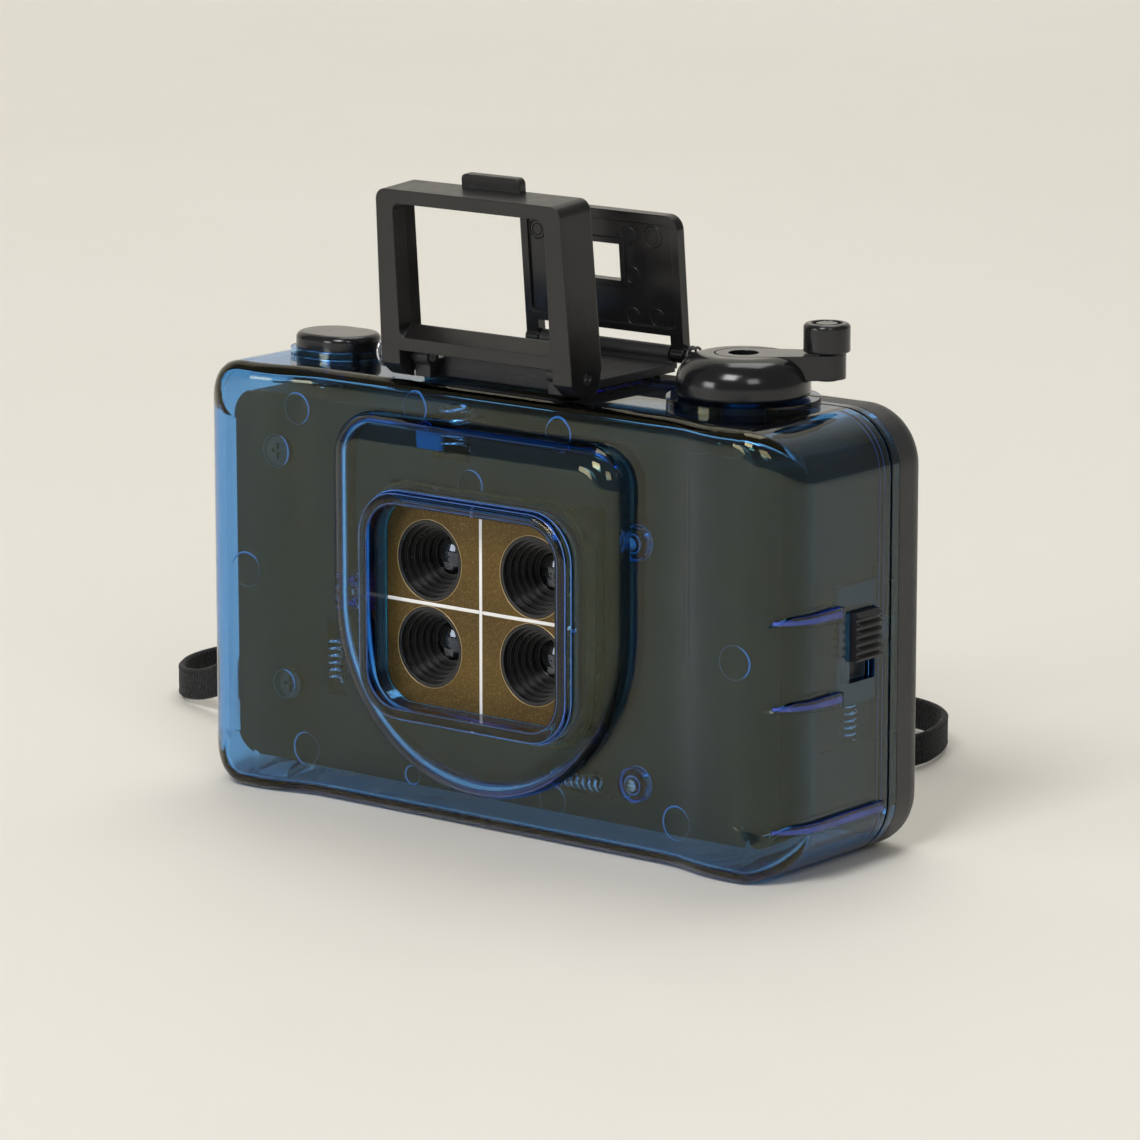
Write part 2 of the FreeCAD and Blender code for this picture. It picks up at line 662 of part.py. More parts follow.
def make_chassis():
    """The black inner moulding: cassette room, picture box with its cross wall, spool room and rails."""
    low = CHASSIS_LOW
    core = pad("chassis_core", "XZ_Plane",
               [[(4 - CHASSIS_LEFT, low), (CHASSIS_RIGHT - 4, low, CHASSIS_RIGHT - 4, low + 4, 1),
                 (CHASSIS_RIGHT, low + 4), (CHASSIS_RIGHT, CHASSIS_TOP - 4, CHASSIS_RIGHT - 4, CHASSIS_TOP - 4, 1),
                 (CHASSIS_RIGHT - 4, CHASSIS_TOP), (4 - CHASSIS_LEFT, CHASSIS_TOP, 4 - CHASSIS_LEFT, CHASSIS_TOP - 4, 1),
                 (-CHASSIS_LEFT, CHASSIS_TOP - 4), (-CHASSIS_LEFT, low + 4, 4 - CHASSIS_LEFT, low + 4, 1)]],
               CHASSIS_BACK, -CHASSIS_FRONT)
    room_low = low + FLOOR_T
    room_high = CHASSIS_TOP - FLOOR_T
    cuts = []
    cuts.append(rod("chassis_cassette_room", "z", CASSETTE_R, KNOB_X, KNOB_Y, room_low, room_high - room_low))
    cuts.append(block("chassis_cassette_mouth", KNOB_X + 0.4 - CASSETTE_R, KNOB_X + CASSETTE_R - 0.4,
                      KNOB_Y, CHASSIS_BACK + 1, room_low, room_high))
    cuts.append(rod("chassis_sleeve_bore", "z", SLEEVE_R + FIT, KNOB_X, KNOB_Y, room_high - 1, FLOOR_T + 2))
    wheel_top = WHEEL_LOW + WHEEL_T
    cuts.append(rod("chassis_spool_room", "z", SPOOL_ROOM_R, -SPOOL_X, SPOOL_Y, room_low, WHEEL_LOW - room_low))
    cuts.append(block("chassis_spool_mouth", 0.4 - SPOOL_X - SPOOL_ROOM_R, SPOOL_ROOM_R - SPOOL_X,
                      SPOOL_Y, CHASSIS_BACK + 1, room_low, WHEEL_LOW))
    cuts.append(rod("chassis_wheel_room", "z", WHEEL_R + WHEEL_GAP, -SPOOL_X, SPOOL_Y,
                    WHEEL_LOW - WHEEL_GAP, WHEEL_T + 2 * WHEEL_GAP))
    cuts.append(rod("chassis_spool_top_bore", "z", JOURNAL_R + FIT, -SPOOL_X, SPOOL_Y, wheel_top, 1.6))
    cuts.append(rod("chassis_spool_low_bore", "z", JOURNAL_R + FIT, -SPOOL_X, SPOOL_Y, low - 1, FLOOR_T + 2))
    cuts.append(rod("chassis_sprocket_room", "z", SPROCKET_R + TOOTH_H + 0.5, -SPROCKET_X, SPROCKET_Y,
                    LENS_Z - FILM_W / 2 - 0.1, FILM_W + 0.2))
    cuts.append(block("chassis_sprocket_mouth", -SPROCKET_X - SPROCKET_R - 0.4, SPROCKET_R + 0.4 - SPROCKET_X,
                      SPROCKET_Y, CHASSIS_BACK + 1, LENS_Z - FILM_W / 2 - 0.1, LENS_Z + FILM_W / 2 + 0.1))
    cuts.append(rod("chassis_sprocket_bore", "z", SPROCKET_AXLE_R + FIT, -SPROCKET_X, SPROCKET_Y,
                    low - 1, LENS_Z + FILM_W / 2 + 1.7 - low + 1))
    cuts.append(rod("chassis_button_spring_room", "z", 3.2, -BUTTON_X, -BUTTON_Y, CHASSIS_TOP - 1, 2))
    front = -CHASSIS_FRONT
    cuts.append(block("chassis_top_spring_room", -11.0, -4.4, front - 1, front + 4.2, CHASSIS_TOP - 5.8, CHASSIS_TOP + 2))
    cuts.append(block("chassis_left_spring_room", -BOSS_HALF - 5.2, -BOSS_HALF - 1.8, front - 1, front + 1.4,
                      LENS_Z - 16.0, LENS_Z - 5.6))
    cuts.append(block("chassis_low_spring_room", 8.0, 20.4, front - 1, front + 1.4, low + 3.3, low + 6.7))
    for name, x, z in FRONT_SCREWS:
        cuts.append(rod("chassis_pilot_" + name, "y", 0.9, x, front - 1, z, 4.0))
    bay_half = RIM_HALF_W + 0.1
    cuts.append(block("chassis_shutter_bay", -bay_half, bay_half, -CHASSIS_FRONT - 1, -BAY_BACK,
                      LENS_Z - RIM_HALF_H - 0.1, LENS_Z + RIM_HALF_H + 0.1))
    for number, (x, z) in enumerate(lens_spots(), 1):
        cuts.append(rod("chassis_aperture_%d" % number, "y", 3.0, x, -BAY_BACK - 1, z, BAY_WALL + 2))
    cuts.append(rod("chassis_shutter_bore", "y", 1.0 + FIT, 0, -BAY_BACK - 1, LENS_Z, 2.0))
    for name, x, up in SCREW_SPOTS:
        cuts.append(rod("chassis_screw_hole_" + name, "y", 1.0, x, -CHASSIS_FRONT - 1, LENS_Z + up, 6))
        cuts.append(rod("chassis_screw_seat_" + name, "y", 2.1, x, 1.3 - CHASSIS_FRONT, LENS_Z + up, 12))
    cuts.append(block("chassis_latch_room", CHASSIS_RIGHT - 0.9, CHASSIS_RIGHT + 1,
                      -LATCH_Y0 - 2, CHASSIS_BACK + 1, LATCH_Z0 - 9.6, LATCH_Z1 + 4.5))

    # Picture box: a tapered room behind the shutter wall, divided again by a cross wall
    front = -BAY_BACK + BAY_WALL
    mouth = new_body("chassis_picture_room")
    near_sketch = new_sketch(mouth, "XZ_Plane", -front,
                             [rounded_rect(ROOM_HALF_W, LENS_Z - ROOM_HALF_H, LENS_Z + ROOM_HALF_H, as_size(1))])
    far_sketch = new_sketch(mouth, "XZ_Plane", -CHASSIS_BACK - 0.01,
                            [rounded_rect(GATE_W / 2, LENS_Z - GATE_H / 2, LENS_Z + GATE_H / 2, as_size(1))])
    loft = mouth.newObject("PartDesign::AdditiveLoft", "chassis_picture_loft")
    loft.Profile = near_sketch
    loft.Sections = [far_sketch]
    loft.Ruled = True
    cuts.append(mouth)
    hollow = cut("chassis_hollow", core, cuts)

    adds = [hollow]
    inner = GATE_H / 2 + 1.4
    outer = FILM_W / 2 + 1.1
    rail_left = SPROCKET_R + TOOTH_H + 1.9 - SPROCKET_X
    rail_right = KNOB_X - CASSETTE_R - 0.3
    for name, offset, extra in (("top_inner", inner, 0.0), ("low_inner", -inner, 0.0),
                                ("top_outer", outer, 0.3), ("low_outer", -outer, 0.3)):
        adds.append(block("chassis_rail_" + name, rail_left, rail_right, CHASSIS_BACK - 1, RAIL_Y + extra,
                          LENS_Z + offset - 0.7, LENS_Z + offset + 0.7))
    return fuse("chassis", adds)


def make_picture_divider():
    """The cross of thin walls that keeps the four pictures apart, cut to the taper of the room."""
    half = 0.4
    front = BAY_WALL - BAY_BACK
    gap = 0.05
    slope_x = (GATE_W / 2 - ROOM_HALF_W) / (CHASSIS_BACK - front)
    slope_z = (GATE_H / 2 - ROOM_HALF_H) / (CHASSIS_BACK - front)
    near_w = ROOM_HALF_W + slope_x * gap - gap
    near_h = ROOM_HALF_H + slope_z * gap - gap
    start = front + gap
    far = CHASSIS_BACK
    wide = pad("divider_across", "XY_Plane",
               [[(-near_w, start), (near_w, start),
                 (GATE_W / 2 - gap, far), (gap - GATE_W / 2, far)]], LENS_Z - half, LENS_Z + half)
    tall = pad("divider_upright", "YZ_Plane",
               [[(start, LENS_Z - near_h), (far, LENS_Z - GATE_H / 2 + gap),
                 (far, LENS_Z + GATE_H / 2 - gap), (start, LENS_Z + near_h)]],
               as_size(-half), as_size(half))
    return fuse("picture_divider", [wide, tall])


# Back cover and what it carries

def make_rear_cover():
    half = BODY_W / 2
    front = SEAM + SEAM_GAP
    tray = pad("cover_tray", "XZ_Plane", [rounded_rect(half, as_size(0), BODY_H, CORNER)], BACK, front)
    rear = val(BACK)
    soften(tray, COVER_R, lambda box: near(box.YMin, rear) and near(box.YMax, rear))
    room = pad("cover_room", "XZ_Plane",
               [rounded_rect(half - COVER_WALL, COVER_WALL, BODY_H - COVER_WALL, CORNER - COVER_WALL)],
               BACK - COVER_WALL, front - 1)
    room_rear = val(BACK) - val(COVER_WALL)
    soften(room, COVER_R - COVER_WALL, lambda box: near(box.YMin, room_rear) and near(box.YMax, room_rear))
    cuts = [room]
    cuts.append(block("cover_wheel_slot", -SPOOL_X - 9.2, 9.2 - SPOOL_X, SEAM + 3, BACK + 1,
                      WHEEL_LOW - WHEEL_GAP, WHEEL_LOW + WHEEL_T + WHEEL_GAP))
    for name, z in (("low", BAR_LOW), ("high", BAR_LOW + BAR_SPAN)):
        cuts.append(rod("cover_bar_hole_" + name, "x", BAR_R, -half - 1, BAR_Y, z, COVER_WALL + 2))
    hinge_x = -half - HINGE_OUT
    low = KNUCKLE_LOW + KNUCKLE_H + 0.2
    high = KNUCKLE_LOW + KNUCKLE_SPAN - KNUCKLE_H - 0.2
    cuts.append(rod("cover_knuckle_bore", "z", HINGE_PIN_R + FIT, hinge_x, SEAM, low - 1, high - low + 2))
    adds = [tray]
    adds.append(rod("cover_knuckle", "z", KNUCKLE_R, hinge_x, SEAM, low, high - low))
    adds.append(block("cover_knuckle_web", hinge_x, COVER_WALL / 2 - half, front, SEAM + KNUCKLE_R, low, high))
    solid = cut("cover_shell", fuse("cover_whole", adds), cuts)
    catch = block("cover_catch", half - COVER_WALL - 2.2, half - COVER_WALL / 2, SEAM + 0.4, SEAM + 1.6,
                  LATCH_Z1 - 2.0, LATCH_Z1 + 2.0)
    posts = []
    for name, side in (("left", -1), ("right", 1)):
        posts.append(rod("cover_spring_post_" + name, "y", 1.2, GATE_W / 4 * side, BACK - COVER_WALL - 1.0, LENS_Z, 1.4))
    grips = []
    for number in range(5):
        x = half - 31.3 + 3.2 * number
        grips.append(pad("cover_grip_%d" % number, "XY_Plane",
                         [[(x - 0.7, BACK - 0.4), (x + 0.7, BACK - 0.4), (x, BACK + 0.35)]],
                         BODY_H / 2 - 14, BODY_H / 2 + 14))
    return fuse("rear_cover", [solid, catch] + posts + grips)


def make_pressure_plate():
    front = RAIL_Y + 0.35
    half_w = GATE_W / 2 + 1.5
    half_h = FILM_W / 2 - 2
    plate = pad("pressure_plate_blank", "XZ_Plane",
                [rounded_rect(half_w, LENS_Z - half_h, LENS_Z + half_h, as_size(2.0))], front + 0.8, front)
    low = LENS_Z - half_h + 2.5
    high = LENS_Z + half_h - 2.5
    ends = [block("pressure_plate_lip_left", -half_w - 0.4, 0.4 - half_w, front, front + 1.4, low, high),
            block("pressure_plate_lip_right", half_w - 0.4, half_w + 0.4, front, front + 1.4, low, high)]
    return fuse("pressure_plate", [plate] + ends)


def make_pressure_spring():
    """A bowed leaf between the plate and the cover, held at two posts."""
    front = RAIL_Y + 0.35 + 0.8
    back = BACK - COVER_WALL - 0.3
    t = 0.3
    post = GATE_W / 4
    end = post + 3
    knee = post - 3
    leaf = pad("pressure_leaf", "XY_Plane",
               [[(-end, back), (-end, back - t), (-knee, back - t),
                 (as_size(-3), front), (as_size(3), front), (knee, back - t), (end, back - t),
                 (end, back), (knee - 0.4, back), (as_size(2.6), front + t), (as_size(-2.6), front + t),
                 (0.4 - knee, back)]], LENS_Z - 4, LENS_Z + 4)
    holes = [rod("pressure_hole_left", "y", 1.3, -post, front, LENS_Z, 4),
             rod("pressure_hole_right", "y", 1.3, post, front, LENS_Z, 4)]
    return cut("pressure_spring", leaf, holes)


# Latch

def make_latch_slide():
    inner = BODY_W / 2 - WALL - 0.2
    plate = block("latch_plate", inner - LATCH_T, inner, -LATCH_Y0 - 1.4, LATCH_Y1 + 1.4, LATCH_Z0 - 3.2, LATCH_Z1 + 3.2)
    top = LATCH_Z1 - 0.2
    cap = block("latch_cap", inner - LATCH_T / 2, BODY_W / 2 + 0.9, 0.3 - LATCH_Y0, LATCH_Y1 - 0.3, top - LATCH_H, top)
    ribs = []
    count = 6
    for number in range(count):
        z = top - LATCH_H + 0.55 + number * (LATCH_H - 1.1) / (count - 1)
        ribs.append(pad("latch_rib_%d" % number, "XZ_Plane",
                        [[(BODY_W / 2 + 0.8, z - 0.4), (BODY_W / 2 + 1.6, z), (BODY_W / 2 + 0.8, z + 0.4)]],
                        LATCH_Y1 - 0.3, 0.3 - LATCH_Y0))
    arm = block("latch_arm", inner - LATCH_T, inner, LATCH_Y1 + 1.4, SEAM + 3.3, LATCH_Z1 - 5.3, LATCH_Z1 - 2.3)
    return fuse("latch_slide", [plate, cap, arm] + ribs)


# Rewind knob, crank and sleeve

def make_rewind_knob():
    r = KNOB_R
    top = KNOB_TOP
    shoulder = top - KNOB_ROUND
    outline = [(as_size(0), KNOB_LOW), (r - 0.5, KNOB_LOW, r - 0.5, KNOB_LOW + 0.5, 1), (r, KNOB_LOW + 0.5),
               (r, shoulder, r - KNOB_ROUND, shoulder, 1), (r - KNOB_ROUND, top), (as_size(0), top)]
    dome = turn("knob_dome", "XZ_Plane", [outline])
    slot = arm_prism("knob_arm_slot", 0.2, top - ARM_T - 0.02, top + 1, 6.0)
    bore = rod("knob_shaft_bore", "z", SHAFT_R, 0, 0, KNOB_LOW - 1, ARM_T)
    knob = cut("rewind_knob", dome, [slot, bore])
    return place(knob, KNOB_X, KNOB_Y, 0, ARM_ANGLE)


def arm_prism(label, grow, low, high, reach):
    """The crank arm from above: round at the hub, tapering to the handle end. The tangent points
    follow from the two radii and the length between them."""
    hub = ARM_HUB_R + grow
    end = ARM_END_R + grow
    length = ARM_LEN + reach
    lean = (ARM_HUB_R - ARM_END_R) / ARM_LEN
    # Cosine of the tangent's tilt by its first two terms, since the taper is slight
    upright = 1 - lean * lean / 2
    return pad(label, "XY_Plane",
               [[(hub * lean, -hub * upright), (length + end * lean, -end * upright, length, 0, 1),
                 (length + end * lean, end * upright), (hub * lean, hub * upright, 0, 0, 1)]], low, high)


def make_crank_arm():
    low = KNOB_TOP - ARM_T
    blank = arm_prism("crank_arm_blank", 0, low, KNOB_TOP, 0)
    foot = rod("crank_arm_foot", "z", 1.5, ARM_LEN, 0, low - 0.3, 0.6)
    well = rod("crank_arm_well", "z", 2.05, 0, 0, KNOB_TOP - 2.5, 3)
    hole = rod("crank_arm_screw_hole", "z", 1.0, 0, 0, low - 1, 6)
    pin_hole = rod("crank_arm_pin_hole", "z", CRANK_PIN_R, ARM_LEN, 0, low - 1, 6.0)
    arm = cut("crank_arm", fuse("crank_arm_whole", [blank, foot]), [well, hole, pin_hole])
    return place(arm, KNOB_X, KNOB_Y, 0, ARM_ANGLE)


CRANK_COS = Size("cos(sizes.crank_angle * 1 deg)", math.cos(math.radians(ARM_ANGLE.value)))
CRANK_SIN = Size("sin(sizes.crank_angle * 1 deg)", math.sin(math.radians(ARM_ANGLE.value)))
HANDLE_X = KNOB_X + ARM_LEN * CRANK_COS
HANDLE_Y = KNOB_Y + ARM_LEN * CRANK_SIN


def make_crank_pin():
    """A rivet pressed into the arm, whose head in the handle's recess keeps the handle on."""
    low = KNOB_TOP - ARM_T - 0.3
    seat = KNOB_TOP + HANDLE_H - 0.25
    shank = rod("crank_pin_shank", "z", CRANK_PIN_R, 0, 0, low, seat + 0.2 - low)
    head = rod("crank_pin_head", "z", 1.45, 0, 0, seat, 0.4)
    return place(fuse("crank_pin", [shank, head]), HANDLE_X, HANDLE_Y, 0)


def make_crank_handle():
    low = KNOB_TOP + 0.2
    high = low + HANDLE_H
    r = HANDLE_R
    bore = CRANK_PIN_R + FIT
    outline = [(bore, low), (r - 0.3, low, r - 0.3, low + 0.3, 1), (r, low + 0.3),
               (r, high - 0.6, r - 0.6, high - 0.6, 1), (r - 0.6, high), (r - 1.0, high),
               (r - 1.2, high - 0.5), (bore, high - 0.5)]
    return place(turn("crank_handle", "XZ_Plane", [outline]), HANDLE_X, HANDLE_Y, 0)


def screw(label, head_r, head_t, shank_r, length):
    """A cross-head screw, head up at z = 0 and shank down."""
    head = rod(label + "_head", "z", head_r, 0, 0, -head_t, head_t)
    shank = rod(label + "_shank", "z", shank_r, 0, 0, -head_t - length, length + head_t / 2)
    cross = [block(label + "_cross_a", -head_r * 0.55, head_r * 0.55, -0.22, 0.22, -head_t / 2, head_t),
             block(label + "_cross_b", -0.22, 0.22, -head_r * 0.55, head_r * 0.55, -head_t / 2, head_t)]
    return cut(label, fuse(label + "_whole", [head, shank]), cross)


def make_crank_screw():
    return place(screw("crank_screw", 1.8, 0.9, 1.0, 2.2), KNOB_X, KNOB_Y, KNOB_TOP - 1.6)


def make_rewind_shaft():
    """The shaft below the knob, forked at its lower end to turn the cassette's spool."""
    top = KNOB_TOP - ARM_T - 0.1
    shaft = rod("rewind_shaft_rod", "z", SHAFT_R, 0, 0, FORK_LOW, top - FORK_LOW)
    fork = block("rewind_shaft_fork", -3, 3, -0.65, 0.65, FORK_LOW - 1, FORK_LOW + 3.4)
    pilot = rod("rewind_shaft_pilot", "z", 1.0, 0, 0, KNOB_TOP - ARM_T - 2.2, 3)
    made = cut("rewind_shaft", shaft, [fork, pilot])
    return place(made, KNOB_X, KNOB_Y, 0)


def make_rewind_sleeve():
    low = CHASSIS_TOP - FLOOR_T + 0.1
    high = KNOB_LOW - 0.25
    return place(pad("rewind_sleeve", "XY_Plane",
                     [(as_size(0), as_size(0), SLEEVE_R), (as_size(0), as_size(0), SHAFT_R + FIT)], low, high),
                 KNOB_X, KNOB_Y, 0)


# Film transport

def make_wind_wheel():
    """The thumb wheel: a drum with fine teeth round its rim, so that the thumb grips it."""
    teeth = 48
    depth = 0.5
    low = WHEEL_LOW
    high = WHEEL_LOW + WHEEL_T
    body = pad("wind_wheel_drum", "XY_Plane", [(as_size(0), as_size(0), WHEEL_R)], low, high)
    doc.recompute()
    notch = body.newObject("Sketcher::SketchObject", "wind_wheel_notch_sketch")
    notch.AttachmentSupport = [(origin_plane(body, "XY_Plane"), "")]
    notch.MapMode = "FlatFace"
    bind(notch, ".AttachmentOffset.Base.z", high)
    draw_loop(notch, [(WHEEL_R - depth, as_size(0)), (WHEEL_R + 0.2, as_size(-0.55)), (WHEEL_R + 0.2, as_size(0.55))])
    pocket = body.newObject("PartDesign::Pocket", "wind_wheel_notch")
    pocket.Profile = notch
    bind(pocket, "Length", WHEEL_T)
    doc.recompute()
    pattern = body.newObject("PartDesign::PolarPattern", "wind_wheel_notches")
    pattern.Originals = [pocket]
    pattern.Axis = (notch, ["N_Axis"])
    pattern.Angle = 360.0
    pattern.Occurrences = teeth
    body.Tip = pattern
    spool_low = CHASSIS_LOW + FLOOR_T + 0.3
    spool = rod("take_up_core", "z", SPOOL_R, 0, 0, spool_low, low - spool_low)
    slit = block("take_up_slit", -0.6, 0.6, -SPOOL_R - 1, 0.5, spool_low + 5, low - 5)
    journal = rod("take_up_journal", "z", JOURNAL_R, 0, 0, CHASSIS_LOW, high + 1.4 - CHASSIS_LOW)
    wheel = place(cut("wind_wheel", body, [rod("wind_wheel_bore", "z", JOURNAL_R, 0, 0, low - 1, WHEEL_T + 2)]),
                  -SPOOL_X, SPOOL_Y, 0)
    made = cut("take_up_spool", fuse("take_up_whole", [spool, journal]), [slit])
    return [wheel, place(made, -SPOOL_X, SPOOL_Y, 0)]


def make_sprocket():
    """A shaft with two toothed rims that drive the film's two rows of holes."""
    low = LENS_Z - FILM_W / 2 + 0.2
    high = LENS_Z + FILM_W / 2 - 0.2
    r = SPROCKET_R
    waist = r - 1.8
    row = FILM_W / 2 - 3.4
    outline = [(as_size(0), low), (r, low), (r, LENS_Z - row + 1.8), (waist, LENS_Z - row + 3.2),
               (waist, LENS_Z + row - 3.2), (r, LENS_Z + row - 1.8), (r, high), (as_size(0), high)]
    drum = turn("sprocket_drum", "XZ_Plane", [outline])
    axle_low = CHASSIS_LOW - 1.4
    axle = rod("sprocket_axle", "z", SPROCKET_AXLE_R, 0, 0, axle_low, LENS_Z + FILM_W / 2 + 1.4 - axle_low)
    finger = block("sprocket_finger", 0, FINGER_R, -0.4, 0.4, axle_low, axle_low + DIAL_T)
    parts = [drum, axle, finger]
    for side in (-1, 1):
        for tooth in range(8):
            angle = tooth * 45.0 + 22.5
            peg = doc.addObject("Part::Cone", "sprocket_tooth_%d_%d" % (tooth, side))
            peg.Placement = Placement(Vector(), Rotation(Vector(0, 0, 1), angle).multiply(TURNS["x"]))
            bind(peg, "Radius1", 0.9)
            bind(peg, "Radius2", 0.45)
            bind(peg, "Height", TOOTH_H + 0.6)
            reach = val(r) - 0.6
            cosine = math.cos(math.radians(angle))
            sine = math.sin(math.radians(angle))
            parts.append(place(peg, (r - 0.6) * cosine, (r - 0.6) * sine, LENS_Z + row * side))
    return place(fuse("sprocket", parts), -SPROCKET_X, SPROCKET_Y, 0)


def make_counter_dial():
    """The frame counter: a thin toothed dial that the sprocket's finger moves on tooth by tooth."""
    teeth = 36
    outer = val(DIAL_R)
    inner = outer - 0.7
    points = []
    for tooth in range(teeth):
        for share, radius in ((0.0, inner), (0.5, outer)):
            angle = 2 * math.pi * (tooth + share) / teeth
            points.append(Vector(radius * math.cos(angle), radius * math.sin(angle), 0))
    face = Part.Face(Part.makePolygon(points + points[:1]))
    blank = made_shape("counter_dial_blank", face.extrude(Vector(0, 0, val(DIAL_T))))
    bore = rod("counter_dial_bore", "z", 1.2 + FIT, 0, 0, -1, 3)
    return place(cut("counter_dial", blank, [bore]), DIAL_X, DIAL_Y, CHASSIS_LOW - 1.4)


# The dial stands diagonally from the sprocket, with its teeth just clear of the finger
DIAL_REACH = (FINGER_R + DIAL_R + 0.15) * math.sqrt(0.5)
DIAL_X = -SPROCKET_X - DIAL_REACH
DIAL_Y = SPROCKET_Y - DIAL_REACH


def make_counter_pin():
    shank = rod("counter_pin_shank", "z", 1.2, DIAL_X, DIAL_Y, CHASSIS_LOW - 1.55, 1.55)
    head = rod("counter_pin_head", "z", 2.0, DIAL_X, DIAL_Y, CHASSIS_LOW - 2.0, 0.5)
    return fuse("counter_pin", [shank, head])


# Shutter button and rewind release

def make_shutter_button():
    top = BUTTON_TOP
    flange_top = BODY_H - WALL - 0.3
    cap = pad("button_cap", "XY_Plane", [slot_outline(as_size(0), as_size(0), BUTTON_STRAIGHT, BUTTON_R)],
              flange_top - 0.5, top)
    high = val(top)
    soften(cap, as_size(0.9), lambda box: near(box.ZMin, high) and near(box.ZMax, high))
    flange = pad("button_flange", "XY_Plane",
                 [slot_outline(as_size(0), as_size(0), BUTTON_STRAIGHT, BUTTON_R + 0.9)], flange_top - 1.0, flange_top)
    stem = rod("button_stem", "z", 1.5, 0, 0, flange_top - 2.1, 1.9)
    return place(fuse("shutter_button", [cap, flange, stem]), -BUTTON_X, -BUTTON_Y, 0)


def make_rewind_release():
    cap = rod("release_cap", "z", 2.8, 0, 0, 0.3, 1.9)
    flange = rod("release_flange", "z", 3.8, 0, 0, WALL + 0.1, 0.6)
    return place(fuse("rewind_release", [cap, flange]), -RELEASE_X, RELEASE_Y, 0)


# Finder

def make_finder_base():
    half = FLOOR_HALF
    rear = SIGHT_Y + 0.95
    front = 1.8 - FRAME_Y
    barrel_half = SIGHT_HALF - SIGHT_LEG - 0.3
    adds = [block("base_floor", -half, half, front, SIGHT_Y - 1.6, FLOOR_LOW, FLOOR_TOP)]
    adds.append(block("base_floor_back", -barrel_half, barrel_half, SIGHT_Y - 1.7, rear, FLOOR_LOW, FLOOR_TOP))
    adds.append(block("base_front_wall", -half + 3.0, half - 3.0, front, front + 1.1, FLOOR_LOW, FRAME_Z + 0.2))
    adds.append(rod("base_barrel", "x", 1.2, -barrel_half, SIGHT_Y, SIGHT_Z, 2 * barrel_half))
    adds.append(block("base_barrel_web", -barrel_half, barrel_half, SIGHT_Y - 1.1, rear, FLOOR_LOW, SIGHT_Z))
    for name, low in (("left", -half), ("right", half - 2.6)):
        adds.append(rod("base_ear_" + name, "x", 1.2, low, -FRAME_Y, FRAME_Z, 2.6))
        adds.append(block("base_ear_web_" + name, low, low + 2.6, -FRAME_Y - 0.6, front + 1.1, FLOOR_LOW, FRAME_Z - 0.3))
    cuts = [rod("base_front_bore", "x", FINDER_PIN_R, -half - 1, -FRAME_Y, FRAME_Z, 2 * half + 2),
            rod("base_rear_bore", "x", FINDER_PIN_R, -half - 1, SIGHT_Y, SIGHT_Z, 2 * half + 2)]
    base = cut("finder_base", fuse("base_whole", adds), cuts)
    return place(base, -FINDER_X, 0, 0)


def make_finder_frame():
    """The deep front frame, drawn about its hinge axis and then leant forward."""
    low = -0.5
    top = FRAME_TOP
    wide = FRAME_HALF
    narrow = FRAME_HALF - FRAME_TAPER
    r = 1.6
    outer = [(-wide, as_size(low) - 3), (wide, as_size(low) - 3), (narrow, top - r, narrow - r, top - r, 1),
             (narrow - r, top), (r - narrow, top, r - narrow, top - r, 1), (-narrow, top - r)]
    view = rounded_rect(VIEW_HALF, VIEW_LOW, VIEW_TOP, as_size(1.2))
    slab = pad("frame_slab", "XZ_Plane", [outer, view], FRAME_REAR, -FRAME_FACE)
    ear = 2.8
    corner = ear * math.sqrt(0.5)
    side = pad("frame_side", "YZ_Plane",
               [[(-FRAME_FACE, as_size(low)), (as_size(-corner), as_size(-corner), as_size(0), as_size(0), 1),
                 (as_size(ear), as_size(0)), (FRAME_REAR, as_size(0.6)), (FRAME_REAR, top + 1), (-FRAME_FACE, top + 1)]],
               -wide - 1, wide + 1)
    shaped = common("frame_shaped", [slab, side])
    face_back = FRAME_FACE_T - FRAME_FACE
    cuts = [block("frame_back_room", -narrow + 1.2, narrow - 1.2, face_back, FRAME_REAR + 1, -5, top - 1.3),
            block("frame_under_bar", -VIEW_HALF - 0.2, VIEW_HALF + 0.2, -FRAME_FACE - 1, FRAME_REAR + 1, -5, 1.4),
            rod("frame_pin_bore", "x", FINDER_PIN_R + FIT, -wide - 1, 0, 0, 2 * wide + 2)]
    open_frame = cut("frame_open", shaped, cuts)
    sill = pad("frame_sill", "YZ_Plane",
               [[(-FRAME_FACE, VIEW_LOW), (-FRAME_FACE, VIEW_LOW - 0.5), (face_back, VIEW_LOW - 0.5),
                 (face_back, VIEW_LOW + 1.35)]], -VIEW_HALF, VIEW_HALF)
    tab = pad("frame_tab", "XZ_Plane",
              [[(as_size(-5), top - 0.6), (as_size(5), top - 0.6), (as_size(5), top + 1.1, as_size(4.2), top + 1.1, 1),
                (as_size(4.2), top + 1.9), (as_size(-4.2), top + 1.9, as_size(-4.2), top + 1.1, 1),
                (as_size(-5), top + 1.1)]], FRAME_REAR, FRAME_REAR - 1.3)
    frame = fuse("finder_front_frame", [open_frame, sill, tab])
    return place(frame, -FINDER_X, -FRAME_Y, FRAME_Z, FRAME_LEAN, Vector(1, 0, 0))


